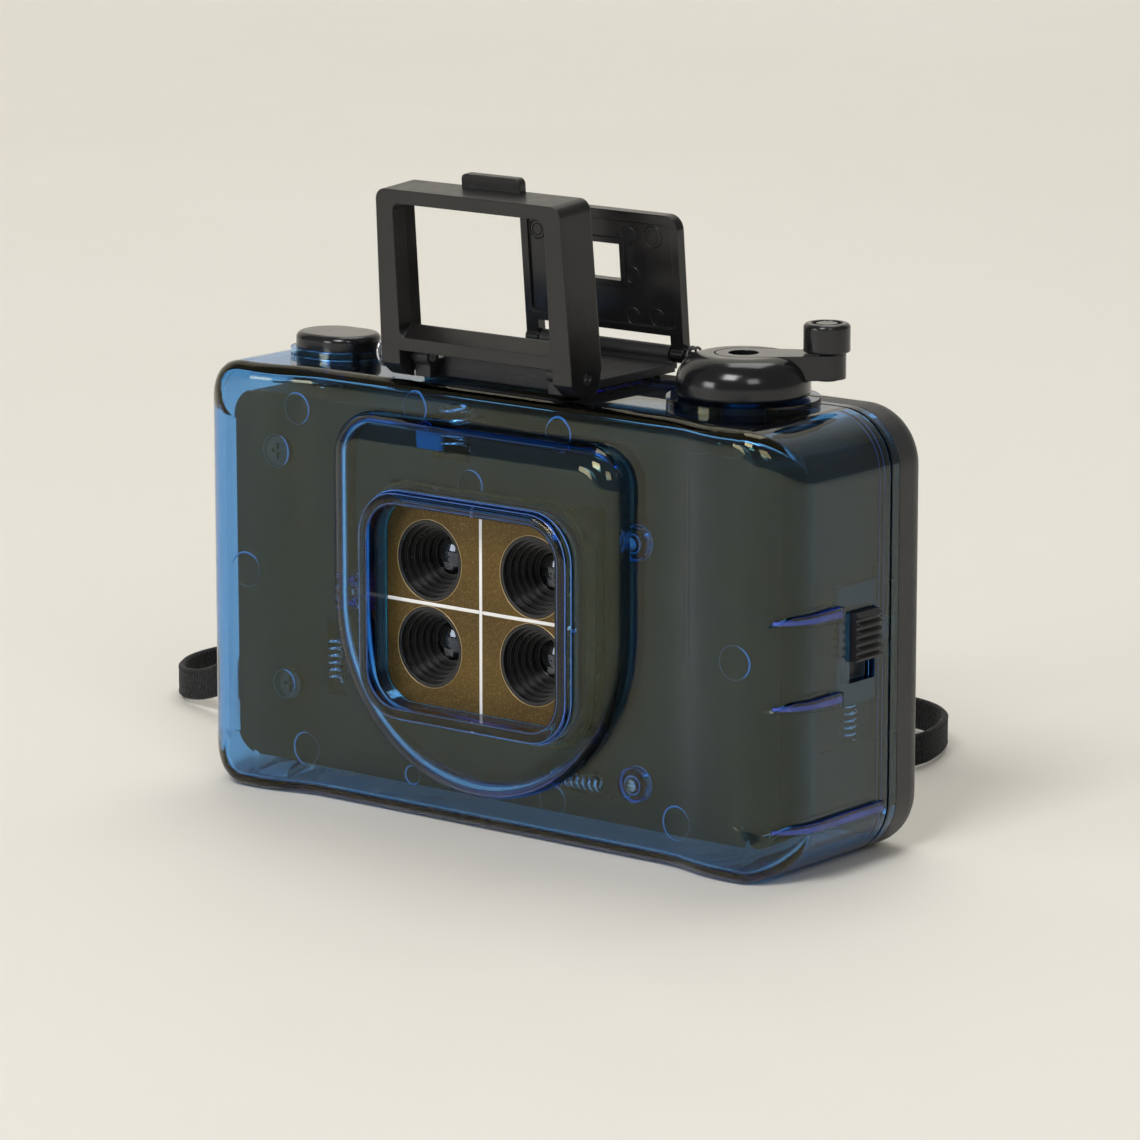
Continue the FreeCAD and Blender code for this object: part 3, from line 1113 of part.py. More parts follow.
def make_finder_sight():
    """The rear sight plate, drawn about its hinge axis and then leant forward."""
    half = SIGHT_HALF
    top = SIGHT_TOP
    leg = half - SIGHT_LEG
    low = 2.7
    r = 2.0
    outline = [(-half, as_size(0), -half + SIGHT_LEG / 2, as_size(0), 1), (-leg, as_size(0)), (-leg, as_size(low)),
               (leg, as_size(low)), (leg, as_size(0), half - SIGHT_LEG / 2, as_size(0), 1), (half, as_size(0)),
               (half, top - r, half - r, top - r, 1), (half - r, top), (r - half, top, r - half, top - r, 1),
               (-half, top - r)]
    hole = [(as_size(-3.5), as_size(9.65)), (as_size(3.5), as_size(9.65)), (as_size(3.5), as_size(14.8)),
            (as_size(-3.5), as_size(14.8))]
    plate = pad("sight_plate", "XZ_Plane", [outline, hole], SIGHT_T / 2, -SIGHT_T / 2)
    end_round = pad("sight_side", "YZ_Plane",
                    [[(as_size(-0.65), as_size(-0.65), as_size(0), as_size(0), 1), (as_size(0.65), as_size(-0.65)),
                      (as_size(2), as_size(1.2)), (as_size(2), top + 1), (as_size(-2), top + 1), (as_size(-2), as_size(1.2))]],
                    -half - 1, half + 1)
    panel = pad("sight_panel", "XZ_Plane",
                [rounded_rect(half - 1.2, as_size(3.7), top - 1.4, as_size(1.0)),
                 [(as_size(-4.3), as_size(8.85)), (as_size(4.3), as_size(8.85)), (as_size(4.3), as_size(15.6)),
                  (as_size(-4.3), as_size(15.6))]], 0.35 - SIGHT_T / 2, -SIGHT_T)
    bore = rod("sight_pin_bore", "x", FINDER_PIN_R + FIT, -half - 1, 0, 0, 2 * half + 2)
    shaped = common("sight_shaped", [plate, end_round])
    knuckles = [rod("sight_knuckle_left", "x", 1.15, -half, 0, 0, SIGHT_LEG),
                rod("sight_knuckle_right", "x", 1.15, half - SIGHT_LEG, 0, 0, SIGHT_LEG)]
    made = cut("finder_rear_sight", fuse("sight_whole", [shaped] + knuckles), [panel, bore])
    return place(made, -FINDER_X, SIGHT_Y, SIGHT_Z, SIGHT_LEAN, Vector(1, 0, 0))


# Pins, screws and the strap bar

def make_pins():
    hinge_x = -BODY_W / 2 - HINGE_OUT
    back = rod("back_hinge_pin", "z", HINGE_PIN_R, hinge_x, SEAM, KNUCKLE_LOW, KNUCKLE_SPAN)
    stub = FRAME_HALF - FLOOR_HALF + 2.6
    front = fuse("finder_front_pin", [
        rod("finder_front_pin_left", "x", FINDER_PIN_R, -FINDER_X - FRAME_HALF - 2.2, -FRAME_Y, FRAME_Z, stub + 2.2),
        rod("finder_front_pin_right", "x", FINDER_PIN_R, FLOOR_HALF - FINDER_X - 2.6, -FRAME_Y, FRAME_Z, stub - 0.6)])
    rear = rod("finder_rear_pin", "x", FINDER_PIN_R, 0.2 - FINDER_X - SIGHT_HALF, SIGHT_Y, SIGHT_Z, 2 * SIGHT_HALF + 1.8)
    return [back, front, rear]


def make_screws():
    case = []
    for name, x, up in SCREW_SPOTS:
        one = screw("case_screw_" + name, 1.9, 1.0, 0.9, 3.0)
        one.Placement = Placement(Vector(), Rotation(Vector(1, 0, 0), -90))
        case.append(place(one, x, 2.3 - CHASSIS_FRONT, LENS_Z + up))
    front = []
    for name, x, z in FRONT_SCREWS:
        one = screw("front_screw_" + name, 2.0, 1.0, 0.9, 2.4)
        one.Placement = Placement(Vector(), Rotation(Vector(1, 0, 0), 90))
        front.append(place(one, x, -CHASSIS_FRONT - 1.0, z))
    return [fuse("case_screws", case), fuse("chassis_screws", front)]


def make_strap_bar():
    """A wire bail let into the back cover's side, for the wrist strap."""
    r = val(BAR_R)
    x0 = -val(BODY_W) / 2 + val(COVER_WALL) - 0.2
    x1 = -val(BODY_W) / 2 - 2.6
    z0 = val(BAR_LOW)
    z1 = z0 + val(BAR_SPAN)
    bend = 1.2
    y = val(BAR_Y)
    kink = bend * (1 - math.sqrt(0.5))
    edges = [Part.LineSegment(Vector(x0, y, z0), Vector(x1 + bend, y, z0)).toShape(),
             Part.Arc(Vector(x1 + bend, y, z0), Vector(x1 + kink, y, z0 + kink), Vector(x1, y, z0 + bend)).toShape(),
             Part.LineSegment(Vector(x1, y, z0 + bend), Vector(x1, y, z1 - bend)).toShape(),
             Part.Arc(Vector(x1, y, z1 - bend), Vector(x1 + kink, y, z1 - kink), Vector(x1 + bend, y, z1)).toShape(),
             Part.LineSegment(Vector(x1 + bend, y, z1), Vector(x0, y, z1)).toShape()]
    return made_shape("strap_bar", sweep_tube(edges, r))


def sweep_tube(edges, radius):
    """A round tube along tangent edges."""
    path = Part.Wire(edges)
    first = edges[0]
    start = first.valueAt(first.FirstParameter)
    heading = first.tangentAt(first.FirstParameter)
    ring = Part.Wire([Part.Circle(start, heading, radius).toShape()])
    return path.makePipeShell([ring], True, False)


# Springs

def biarc(p0, t0, p1, t1):
    """Two tangent arcs from one point and heading to the next."""
    v = p1 - p0
    t = t0 + t1
    bend = 2 * (1 - t0.dot(t1))
    root = math.sqrt(v.dot(t) ** 2 + bend * v.dot(v))
    d = (root - v.dot(t)) / bend
    middle = (p0 + p1 + (t0 - t1) * d) * 0.5
    return [arc_from(p0, t0, middle), arc_from(p1, t1 * -1, middle, True)]


def arc_from(start, heading, end, reverse=False):
    chord = end - start
    length = chord.Length
    unit = chord * (1 / length)
    side = heading - unit * heading.dot(unit)
    angle = math.acos(max(-1.0, min(1.0, heading.dot(unit))))
    bulge = (start + end) * 0.5 + side * ((length / 2) * math.tan(angle / 2) / side.Length)
    if reverse:
        return Part.Arc(end, bulge, start).toShape()
    return Part.Arc(start, bulge, end).toShape()


def coil(label, radius, wire, length, turns, tails=(0.0, 0.0)):
    """An open coil spring up the Z axis, with optional straight tails, built from biarcs of a
    quarter turn. Its least gap between turns is printed."""
    rise = length / turns
    slope = rise / (2 * math.pi)
    points = []
    steps = int(round(turns * 4))
    for step in range(steps + 1):
        angle = step * math.pi / 2
        point = Vector(radius * math.cos(angle), radius * math.sin(angle), slope * angle)
        heading = Vector(-radius * math.sin(angle), radius * math.cos(angle), slope)
        heading.normalize()
        points.append((point, heading))
    edges = []
    if tails[0]:
        edges.append(Part.LineSegment(points[0][0] - points[0][1] * tails[0], points[0][0]).toShape())
    for here, there in zip(points, points[1:]):
        edges.extend(biarc(here[0], here[1], there[0], there[1]))
    if tails[1]:
        edges.append(Part.LineSegment(points[-1][0], points[-1][0] + points[-1][1] * tails[1]).toShape())
    print(label, "gap between turns", round(rise * math.cos(math.atan(slope / radius)) - 2 * wire, 2))
    return sweep_tube(edges, wire)


def make_springs():
    made = []
    wire = 0.2
    room = val(BODY_H) - val(WALL) - 1.3 - (val(CHASSIS_TOP) - 1.0)
    spring = made_shape("button_spring", coil("button_spring", 2.35, wire, room - 2 * wire - 0.1, 2.25))
    made.append(place(spring, -BUTTON_X, -BUTTON_Y, CHASSIS_TOP - 1.0 + wire + 0.05))

    lift = made_shape("release_spring", coil("release_spring", 2.2, 0.15, 1.3, 1.5))
    made.append(place(lift, -RELEASE_X, RELEASE_Y, WALL + 0.9))

    latch = made_shape("latch_spring", coil("latch_spring", 1.0, 0.2, 4.8, 5))
    made.append(place(latch, BODY_W / 2 - WALL - 1.35, LATCH_Y1 - 3, LATCH_Z0 - 8.3))

    front = -CHASSIS_FRONT
    pull = made_shape("shutter_spring_left", coil("shutter_spring_left", 0.95, 0.2, 6.0, 6))
    made.append(place(pull, -BOSS_HALF - 3.5, front - 0.05, LENS_Z - 14.0))

    top = made_shape("shutter_spring_top", coil("shutter_spring_top", 2.3, 0.3, 6.0, 4))
    made.append(place(top, -7.7, front + 1.35, CHASSIS_TOP - 4.6))

    drive = made_shape("shutter_spring_low", coil("shutter_spring_low", 1.0, 0.22, 8.4, 8))
    drive.Placement = Placement(Vector(), Rotation(Vector(0, 1, 0), 90))
    made.append(place(drive, 10.0, front - 0.05, CHASSIS_LOW + 5.0))

    left = made_shape("finder_front_spring", coil("finder_front_spring", 1.9, 0.22, 1.9, 2.25, (3.2, 2.6)))
    left.Placement = Placement(Vector(), Rotation(Vector(0, 1, 0), -90))
    made.append(place(left, -FINDER_X - FRAME_HALF - 0.35, -FRAME_Y, FRAME_Z))

    right = made_shape("finder_rear_spring", coil("finder_rear_spring", 1.3, 0.2, 1.3, 1.5, (1.6, 1.6)))
    right.Placement = Placement(Vector(), Rotation(Vector(0, 1, 0), 90))
    made.append(place(right, SIGHT_HALF - FINDER_X + 0.35, SIGHT_Y, SIGHT_Z))
    return made


# Wrist strap

STRAP_ROUTE = [
    (-55.2, 12.9, 13.5), (-60.5, 14.6, 13.3), (-66.4, 18.8, 10.8), (-66.8, 25.8, 6.9), (-60.6, 31.4, 3.4),
    (-50.6, 34.4, 1.7), (-38.0, 36.4, 1.4), (-24.0, 39.6, 1.4), (-9.0, 42.4, 1.4), (6.0, 42.8, 1.4),
    (18.6, 44.8, 1.4), (25.2, 51.6, 1.6), (23.6, 60.2, 2.2), (18.4, 68.4, 2.2), (8.0, 72.4, 1.8),
    (-5.0, 70.8, 1.5), (-19.0, 67.0, 1.4), (-33.0, 64.6, 1.4), (-48.0, 62.2, 1.4), (-62.0, 59.2, 1.4),
    (-75.0, 54.8, 1.4), (-86.0, 47.0, 1.4), (-92.4, 37.0, 1.4), (-91.4, 27.4, 1.5), (-85.8, 20.6, 2.0),
    (-78.0, 18.8, 4.0), (-71.0, 16.6, 7.6), (-64.6, 13.4, 11.6), (-59.6, 11.4, 13.5), (-55.2, 10.3, 13.5)]


def make_strap():
    """The strap as a tube of straight runs and tangent arcs along its route."""
    points = [Vector(*point) for point in STRAP_ROUTE]
    edges = []
    radii = []
    length = 0.0
    here = points[0]
    for before, corner, after in zip(points, points[1:], points[2:]):
        back = before - corner
        ahead = after - corner
        run = min(back.Length, ahead.Length)
        back.normalize()
        ahead.normalize()
        turn_angle = math.pi - back.getAngle(ahead)
        setback = 0.45 * run
        radius = setback / math.tan(turn_angle / 2)
        radii.append(radius)
        start = corner + back * setback
        end = corner + ahead * setback
        inward = (back + ahead)
        inward.normalize()
        centre = corner + inward * math.hypot(setback, radius)
        middle = centre - inward * radius
        edges.append(Part.LineSegment(here, start).toShape())
        edges.append(Part.Arc(start, middle, end).toShape())
        here = end
    edges.append(Part.LineSegment(here, points[-1]).toShape())
    length = sum(edge.Length for edge in edges)
    tube = sweep_tube(edges, val(STRAP_R))
    area = math.pi * val(STRAP_R) ** 2
    print("strap radii", " ".join("%.0f" % radius for radius in radii))
    print("strap length %.1f, volume share %.4f" % (length, tube.Volume / (area * length)))
    return made_shape("strap", tube)


# Build, check and write

nodes = [make_front_shell(), make_lens_plate(), make_lens_board(), make_shutter_disc(), make_chassis(), make_picture_divider(),
         make_rear_cover(), make_pressure_plate(), make_pressure_spring(), make_latch_slide(), make_rewind_knob(),
         make_crank_arm(), make_crank_pin(), make_crank_handle(), make_crank_screw(), make_rewind_shaft(),
         make_rewind_sleeve(), make_sprocket(), make_counter_dial(), make_counter_pin(), make_shutter_button(),
         make_rewind_release(), make_finder_base(), make_finder_frame(), make_finder_sight(), make_strap_bar(),
         make_strap()]
nodes += make_lens_barrels()
nodes += make_wind_wheel()
nodes += make_pins()
nodes += make_screws()
nodes += make_springs()
doc.recompute()

for item in doc.Objects:
    if "Invalid" in item.State or "Error" in item.State:
        raise ValueError("%s is %s" % (item.Label, item.State))

os.makedirs("parts", exist_ok=True)
for node in nodes:
    shape = node.Shape
    if shape.isNull() or not shape.isValid():
        raise ValueError(node.Label + " has no valid shape")
    print("%-22s solids %d volume %9.1f" % (node.Label, len(shape.Solids), shape.Volume))
    shape.exportStep("parts/%s.step" % node.Label)
print(len(nodes), "nodes")
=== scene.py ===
import bpy
import bmesh
import math
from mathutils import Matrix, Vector


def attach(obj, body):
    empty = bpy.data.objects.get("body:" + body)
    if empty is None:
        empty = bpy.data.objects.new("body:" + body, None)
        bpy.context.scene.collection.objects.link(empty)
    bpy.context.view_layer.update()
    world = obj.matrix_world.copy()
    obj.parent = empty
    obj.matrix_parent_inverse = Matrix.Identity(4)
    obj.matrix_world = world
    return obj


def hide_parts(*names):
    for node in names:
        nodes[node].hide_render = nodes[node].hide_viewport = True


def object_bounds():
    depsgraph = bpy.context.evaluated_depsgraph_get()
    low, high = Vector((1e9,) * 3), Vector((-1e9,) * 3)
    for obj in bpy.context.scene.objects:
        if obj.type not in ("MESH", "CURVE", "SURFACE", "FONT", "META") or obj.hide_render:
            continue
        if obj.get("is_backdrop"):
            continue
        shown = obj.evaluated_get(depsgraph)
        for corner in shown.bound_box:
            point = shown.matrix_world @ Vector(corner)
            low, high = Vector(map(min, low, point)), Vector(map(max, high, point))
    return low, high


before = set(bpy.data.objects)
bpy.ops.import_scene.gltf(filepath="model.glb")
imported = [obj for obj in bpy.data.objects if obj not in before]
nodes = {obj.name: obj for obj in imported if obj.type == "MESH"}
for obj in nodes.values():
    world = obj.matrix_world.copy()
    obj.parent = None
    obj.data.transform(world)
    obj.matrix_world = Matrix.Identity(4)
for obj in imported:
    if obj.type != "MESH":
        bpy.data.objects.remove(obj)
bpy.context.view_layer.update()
scene = bpy.context.scene
MM = 0.001


def mm(*xyz):
    """A point given in millimetres, in metres."""
    return Vector(xyz) * MM


# Sizes and places in millimetres that the detail pieces share with the solids

BODY_W = 102.6
BODY_H = 60.4
HALF_DEPTH = 16.3
BODY_CORNER = 8.0
SIDE_R = 7.9
LENS_Z = 30.6
LENS_X_OFF = 9.0
LENS_Z_OFF = 6.0
PLATE_FRONT = -15.0
STRAP_BAR_X = -53.9
STRAP_BAR_Y = 11.6
FRONTWARD = (0.0, -1.0, 0.0)
BACKWARD = (0.0, 1.0, 0.0)


# Camera, at the photograph's angle

TURN = math.radians(38.681)
TILT = math.radians(11.685)
CAMERA_TARGET = mm(1.98, 1.75, 34.018)
CAMERA_DISTANCE = 779.203 * MM

level = math.cos(TILT)
toward_camera = Vector((math.sin(TURN) * level, -math.cos(TURN) * level, math.sin(TILT)))
lens = bpy.data.cameras.new("photo_camera")
lens.lens = 180.044
lens.sensor_width = 36.0
lens.clip_start = 0.05
lens.clip_end = 30.0
camera = bpy.data.objects.new("photo_camera", lens)
camera.location = CAMERA_TARGET + toward_camera * CAMERA_DISTANCE
camera.rotation_mode = "QUATERNION"
camera.rotation_quaternion = (-toward_camera).to_track_quat("-Z", "Y")
scene.collection.objects.link(camera)
scene.camera = camera


# Materials. Scales of noise are per metre; depths of bump and rounded edges are in millimetres

NOISE_LOW = 0.3
NOISE_HIGH = 0.7
PLASTIC_IOR = 1.5
LENS_IOR = 1.6
STREAKED = (400.0, 400.0, 9000.0)
EVEN = (900.0, 900.0, 900.0)


class Nodes:
    """A material's node tree with short calls."""

    def __init__(self, name):
        self.mat = bpy.data.materials.new(name)
        self.mat.use_nodes = True
        self.tree = self.mat.node_tree
        self.tree.nodes.clear()
        self.out = self.add("ShaderNodeOutputMaterial")
        self.bsdf = self.add("ShaderNodeBsdfPrincipled")
        self.link(self.bsdf.outputs[0], self.out.inputs[0])
        self.coords = self.add("ShaderNodeTexCoord")

    def add(self, kind, **settings):
        node = self.tree.nodes.new(kind)
        for key, value in settings.items():
            setattr(node, key, value)
        return node

    def link(self, one, other):
        self.tree.links.new(one, other)

    def fix(self, socket, value):
        """A value that is the same all over the surface, on the shader's own socket."""
        self.bsdf.inputs[socket].default_value = value

    def noise(self, scale, detail=3.0, rough=0.55, stretch=None):
        node = self.add("ShaderNodeTexNoise")
        node.inputs["Scale"].default_value = scale
        node.inputs["Detail"].default_value = detail
        node.inputs["Roughness"].default_value = rough
        source = self.coords.outputs["Object"]
        if stretch:
            mapping = self.add("ShaderNodeMapping")
            mapping.inputs["Scale"].default_value = stretch
            self.link(source, mapping.inputs[0])
            source = mapping.outputs[0]
        self.link(source, node.inputs["Vector"])
        return node.outputs["Fac"]

    def ramp(self, source, one, other, start=NOISE_LOW, end=NOISE_HIGH):
        """A colour that goes from one to the other as the source goes from start to end."""
        node = self.add("ShaderNodeValToRGB")
        for element, place, color in zip(node.color_ramp.elements, (start, end), (one, other)):
            element.position = place
            element.color = (*color, 1.0)
        self.link(source, node.inputs[0])
        return node.outputs[0]

    def base(self, color):
        self.link(color, self.bsdf.inputs["Base Color"])

    def roughness(self, source, low, high):
        """Roughness that drifts between two values with a noise."""
        node = self.add("ShaderNodeMapRange")
        node.inputs["From Min"].default_value = NOISE_LOW
        node.inputs["From Max"].default_value = NOISE_HIGH
        node.inputs["To Min"].default_value = low
        node.inputs["To Max"].default_value = high
        self.link(source, node.inputs["Value"])
        self.link(node.outputs[0], self.bsdf.inputs["Roughness"])

    def bump(self, source, depth, strength, edge=0.0):
        """Relief from a source, over edges that look rounded off where edge is given."""
        node = self.add("ShaderNodeBump")
        node.inputs["Strength"].default_value = strength
        node.inputs["Distance"].default_value = depth * MM
        self.link(source, node.inputs["Height"])
        if edge:
            bevel = self.add("ShaderNodeBevel", samples=4)
            bevel.inputs["Radius"].default_value = edge * MM
            self.link(bevel.outputs[0], node.inputs["Normal"])
        self.link(node.outputs[0], self.bsdf.inputs["Normal"])


def shade(color, factor):
    return tuple(min(1.0, part * factor) for part in color)


def plastic(name, color, rough, grain=2600.0, depth=0.03, edge=0.16, vary=0.22, haze=0.05):
    """Moulded plastic: slight colour drift, uneven gloss, a fine spark-eroded grain and soft edges."""
    n = Nodes(name)
    drift = n.noise(120.0, detail=4.0)
    n.base(n.ramp(drift, shade(color, 1 - vary), shade(color, 1 + vary), 0.35, 0.65))
    n.roughness(n.noise(420.0, detail=5.0, rough=0.7), rough - haze, rough + haze)
    n.bump(n.noise(grain, detail=2.0), depth, 0.35, edge)
    n.fix("IOR", PLASTIC_IOR)
    return n.mat


def smooth_plastic(name, color, rough, shine):
    """Plainly polished mouldings, with only broad changes of shade and gloss."""
    n = Nodes(name)
    n.base(n.ramp(n.noise(60.0, detail=2.0), shade(color, 0.85), shade(color, 1.15), 0.35, 0.65))
    n.roughness(n.noise(50.0, detail=2.0), rough - 0.04, rough + 0.04)
    n.fix("Specular IOR Level", shine)
    return n.mat


def metal(name, color, rough, streak=STREAKED):
    """Turned or drawn metal with fine streaks and small changes of gloss."""
    n = Nodes(name)
    n.base(n.ramp(n.noise(260.0), shade(color, 0.82), shade(color, 1.1)))
    n.roughness(n.noise(1.0, detail=4.0, rough=0.6, stretch=streak), rough - 0.07, rough + 0.1)
    n.fix("Metallic", 1.0)
    n.bump(n.noise(1.0, rough=0.6, stretch=streak), depth=0.008, strength=0.5, edge=0.08)
    return n.mat


def tinted_shell():
    """Clear plastic with a blue dye that deepens with thickness; the warm tint of its reflections is painted
    reflection of warm surroundings.
    """
    n = Nodes("clear_blue_plastic")
    n.base(n.ramp(n.noise(24.0), (0.86, 0.91, 0.97), (0.93, 0.96, 1.0)))
    n.roughness(n.noise(60.0), 0.0, 0.022)
    n.bump(n.noise(30.0, detail=1.0, rough=0.4), depth=0.05, strength=0.1)
    n.fix("Transmission Weight", 1.0)
    n.fix("IOR", PLASTIC_IOR)
    # Warm tint on the reflections: painted reflection of warm yellow surroundings
    n.fix("Specular Tint", (1.0, 0.89, 0.5, 1.0))
    dye = n.add("ShaderNodeVolumeAbsorption")
    dye.inputs["Color"].default_value = (0.03, 0.58, 0.89, 1.0)
    dye.inputs["Density"].default_value = 560.0
    n.link(dye.outputs[0], n.out.inputs["Volume"])
    return n.mat


def bronze_plate():
    """Dark bronze print with a fine bright speckle, as on the lens plate."""
    n = Nodes("bronze_speckled_plate")
    ground = n.ramp(n.noise(90.0, detail=4.0), (0.075, 0.043, 0.008), (0.115, 0.07, 0.014))
    dots = n.add("ShaderNodeTexVoronoi", feature="F1")
    dots.inputs["Scale"].default_value = 5600.0
    n.link(n.coords.outputs["Object"], dots.inputs["Vector"])
    flecks = n.ramp(dots.outputs["Color"], (0, 0, 0), (0.6, 0.6, 0.6), 0.6, 1.0)
    mix = n.add("ShaderNodeMix", data_type="RGBA")
    n.link(flecks, mix.inputs["Factor"])
    n.link(ground, mix.inputs["A"])
    mix.inputs["B"].default_value = (0.25, 0.17, 0.055, 1.0)
    n.base(mix.outputs["Result"])
    n.roughness(n.noise(3000.0, detail=2.0), 0.34, 0.55)
    n.bump(n.noise(4200.0, detail=2.0), depth=0.02, strength=0.6)
    n.fix("Metallic", 0.55)
    return n.mat


def lens_glass():
    """Small moulded lens with a bluish coating on top; its dark warm tint is painted shade of the barrel's
    depth.
    """
    n = Nodes("lens_glass")
    # Dark warm base colour: painted shade of the dark barrel seen through the lens
    n.base(n.ramp(n.noise(300.0, detail=2.0), (0.16, 0.13, 0.1), (0.24, 0.2, 0.15)))
    n.roughness(n.noise(700.0, detail=2.0), 0.0, 0.02)
    n.fix("Transmission Weight", 1.0)
    n.fix("IOR", LENS_IOR)
    n.fix("Specular Tint", (0.75, 0.85, 1.0, 1.0))
    n.fix("Coat Weight", 0.6)
    n.fix("Coat Roughness", 0.02)
    n.fix("Coat Tint", (0.8, 0.88, 1.0, 1.0))
    return n.mat


def webbing():
    """Black woven tape."""
    n = Nodes("black_webbing")
    n.base(n.ramp(n.noise(1500.0, detail=4.0), (0.004, 0.004, 0.0045), (0.018, 0.018, 0.02)))
    n.roughness(n.noise(2600.0), 0.5, 0.8)
    n.bump(n.noise(5200.0, rough=0.7), depth=0.06, strength=0.8)
    n.fix("Specular IOR Level", 0.2)
    n.fix("Sheen Weight", 0.08)
    n.fix("Sheen Roughness", 0.4)
    return n.mat


def floor_material():
    """Pale matt studio paper."""
    n = Nodes("pale_floor")
    n.base(n.ramp(n.noise(3.0), (0.82, 0.79, 0.71), (0.85, 0.82, 0.745)))
    n.roughness(n.noise(40.0), 0.6, 0.75)
    return n.mat


mats = {
    "shell": tinted_shell(),
    "bronze": bronze_plate(),
    "glass": lens_glass(),
    "webbing": webbing(),
    # The inner plastic is black; its warm olive tint is painted reflection of a warm floor
    "inner": smooth_plastic("black_inner_plastic_painted_warm_reflection", (0.021, 0.0185, 0.013), 0.5, shine=0.22),
    "barrel": plastic("black_barrel_plastic", (0.008, 0.008, 0.0085), 0.24, 3000.0, depth=0.01, edge=0.12),
    "satin": plastic("satin_black_plastic", (0.018, 0.018, 0.02), 0.36),
    "finder": plastic("finder_black_plastic", (0.009, 0.0083, 0.008), 0.32, depth=0.07, edge=0.3),
    "sight": plastic("polished_finder_plastic", (0.007, 0.0065, 0.007), 0.2, 2000.0, depth=0.008, edge=0.2),
    "grained": plastic("grained_finder_plastic", (0.014, 0.014, 0.016), 0.5, 1900.0, depth=0.12, edge=0.2),
    "gloss": plastic("gloss_black_plastic", (0.009, 0.009, 0.01), 0.17, 900.0, 0.01, edge=0.2, haze=0.04),
    "back": plastic("grained_black_plastic", (0.02, 0.02, 0.022), 0.42, 1500.0, depth=0.08, edge=0.2),
    # Pale blue for the painted highlights on the ejector marks and screw posts inside the shell
    "glint": plastic("pale_blue_painted_glint", (0.3, 0.55, 0.9), 0.2, 900.0, depth=0.005, vary=0.1),
    "line": plastic("blue_painted_highlight_line", (0.13, 0.3, 0.78), 0.2, 900.0, depth=0.005, vary=0.3),
    "teal": plastic("teal_painted_highlight_line", (0.05, 0.62, 0.58), 0.2, 900.0, depth=0.005, vary=0.3),
    "rib": plastic("violet_rib_core", (0.06, 0.11, 0.52), 0.25, 500.0, depth=0.01, vary=0.3),
    "pad": plastic("blue_felt_pad", (0.03, 0.27, 0.5), 0.5, depth=0.01, vary=0.08),
    "dial": plastic("white_dial_plastic", (0.75, 0.75, 0.72), 0.45, 2200.0, depth=0.01, edge=0.06, vary=0.05),
    "white": plastic("white_print", (0.86, 0.85, 0.82), 0.5, depth=0.01, edge=0.03, vary=0.03),
    "steel": metal("bright_steel", (0.62, 0.62, 0.63), 0.28),
    "wire": metal("spring_wire", (0.66, 0.67, 0.7), 0.22, EVEN),
    "dark_steel": metal("blackened_steel", (0.1, 0.1, 0.1), 0.4),
    # Pale gold for the painted highlight rings round the plate's holes
    "gold": metal("pale_gold_painted_glint", (0.66, 0.5, 0.28), 0.38, EVEN),
}

MADE_OF = {
    "shell": ["front_shell"],
    "bronze": ["lens_plate"],
    "glass": ["lens_element_1", "lens_element_2", "lens_element_3", "lens_element_4"],
    "inner": ["chassis", "picture_divider"],
    "barrel": ["lens_board", "lens_barrel_1", "lens_barrel_2", "lens_barrel_3", "lens_barrel_4"],
    "satin": ["latch_slide", "rewind_sleeve", "sprocket", "rewind_release", "wind_wheel", "take_up_spool"],
    "finder": ["finder_front_frame"],
    "sight": ["finder_rear_sight"],
    "grained": ["finder_base"],
    "gloss": ["rewind_knob", "crank_arm", "crank_pin", "crank_handle", "shutter_button"],
    "back": ["rear_cover"],
    "dial": ["counter_dial"],
    "steel": ["crank_screw", "rewind_shaft", "counter_pin", "strap_bar", "back_hinge_pin", "finder_front_pin",
              "case_screws"],
    "wire": ["pressure_spring", "button_spring", "release_spring", "latch_spring", "shutter_spring_left",
             "shutter_spring_top", "shutter_spring_low", "finder_front_spring"],
    "dark_steel": ["shutter_disc", "pressure_plate", "chassis_screws", "finder_rear_pin",
                   "finder_rear_spring"],
}
for key, names in MADE_OF.items():
    for name in names:
        mesh = nodes[name].data
        mesh.materials.clear()
        mesh.materials.append(mats[key])


# Helpers for the detail pieces, whose points are in millimetres

def finish_piece(name, bm, key, body="camera", smooth=True):
    """Make an object of the mesh, with its material, riding on its body."""
    bmesh.ops.recalc_face_normals(bm, faces=bm.faces)
    data = bpy.data.meshes.new(name)
    bm.to_mesh(data)
    bm.free()
    for face in data.polygons:
        face.use_smooth = smooth
    data.materials.append(mats[key])
    item = bpy.data.objects.new(name, data)
    scene.collection.objects.link(item)
    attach(item, body)
    return item


def add_band(bm, one, other, turn=0):
    """A band of faces between two loops of as many points, the second one turned by some points."""
    count = len(one)
    for k in range(count):
        after = k + 1
        bm.faces.new((one[k], one[after % count], other[(after + turn) % count], other[(k + turn) % count]))


def skin(bm, loops, closed=False, turn=0):
    """Faces over a row of loops, capped at its two ends or closed to a ring."""
    for one, other in zip(loops, loops[1:]):
        add_band(bm, one, other)
    if closed:
        add_band(bm, loops[-1], loops[0], turn)
    else:
        bm.faces.new(loops[0])
        bm.faces.new(loops[-1])


def facing(normal):
    """Two directions in a face's plane, the second one upward."""
    normal = Vector(normal).normalized()
    side = Vector((0, 0, 1)).cross(normal).normalized()
    return side, normal.cross(side), normal


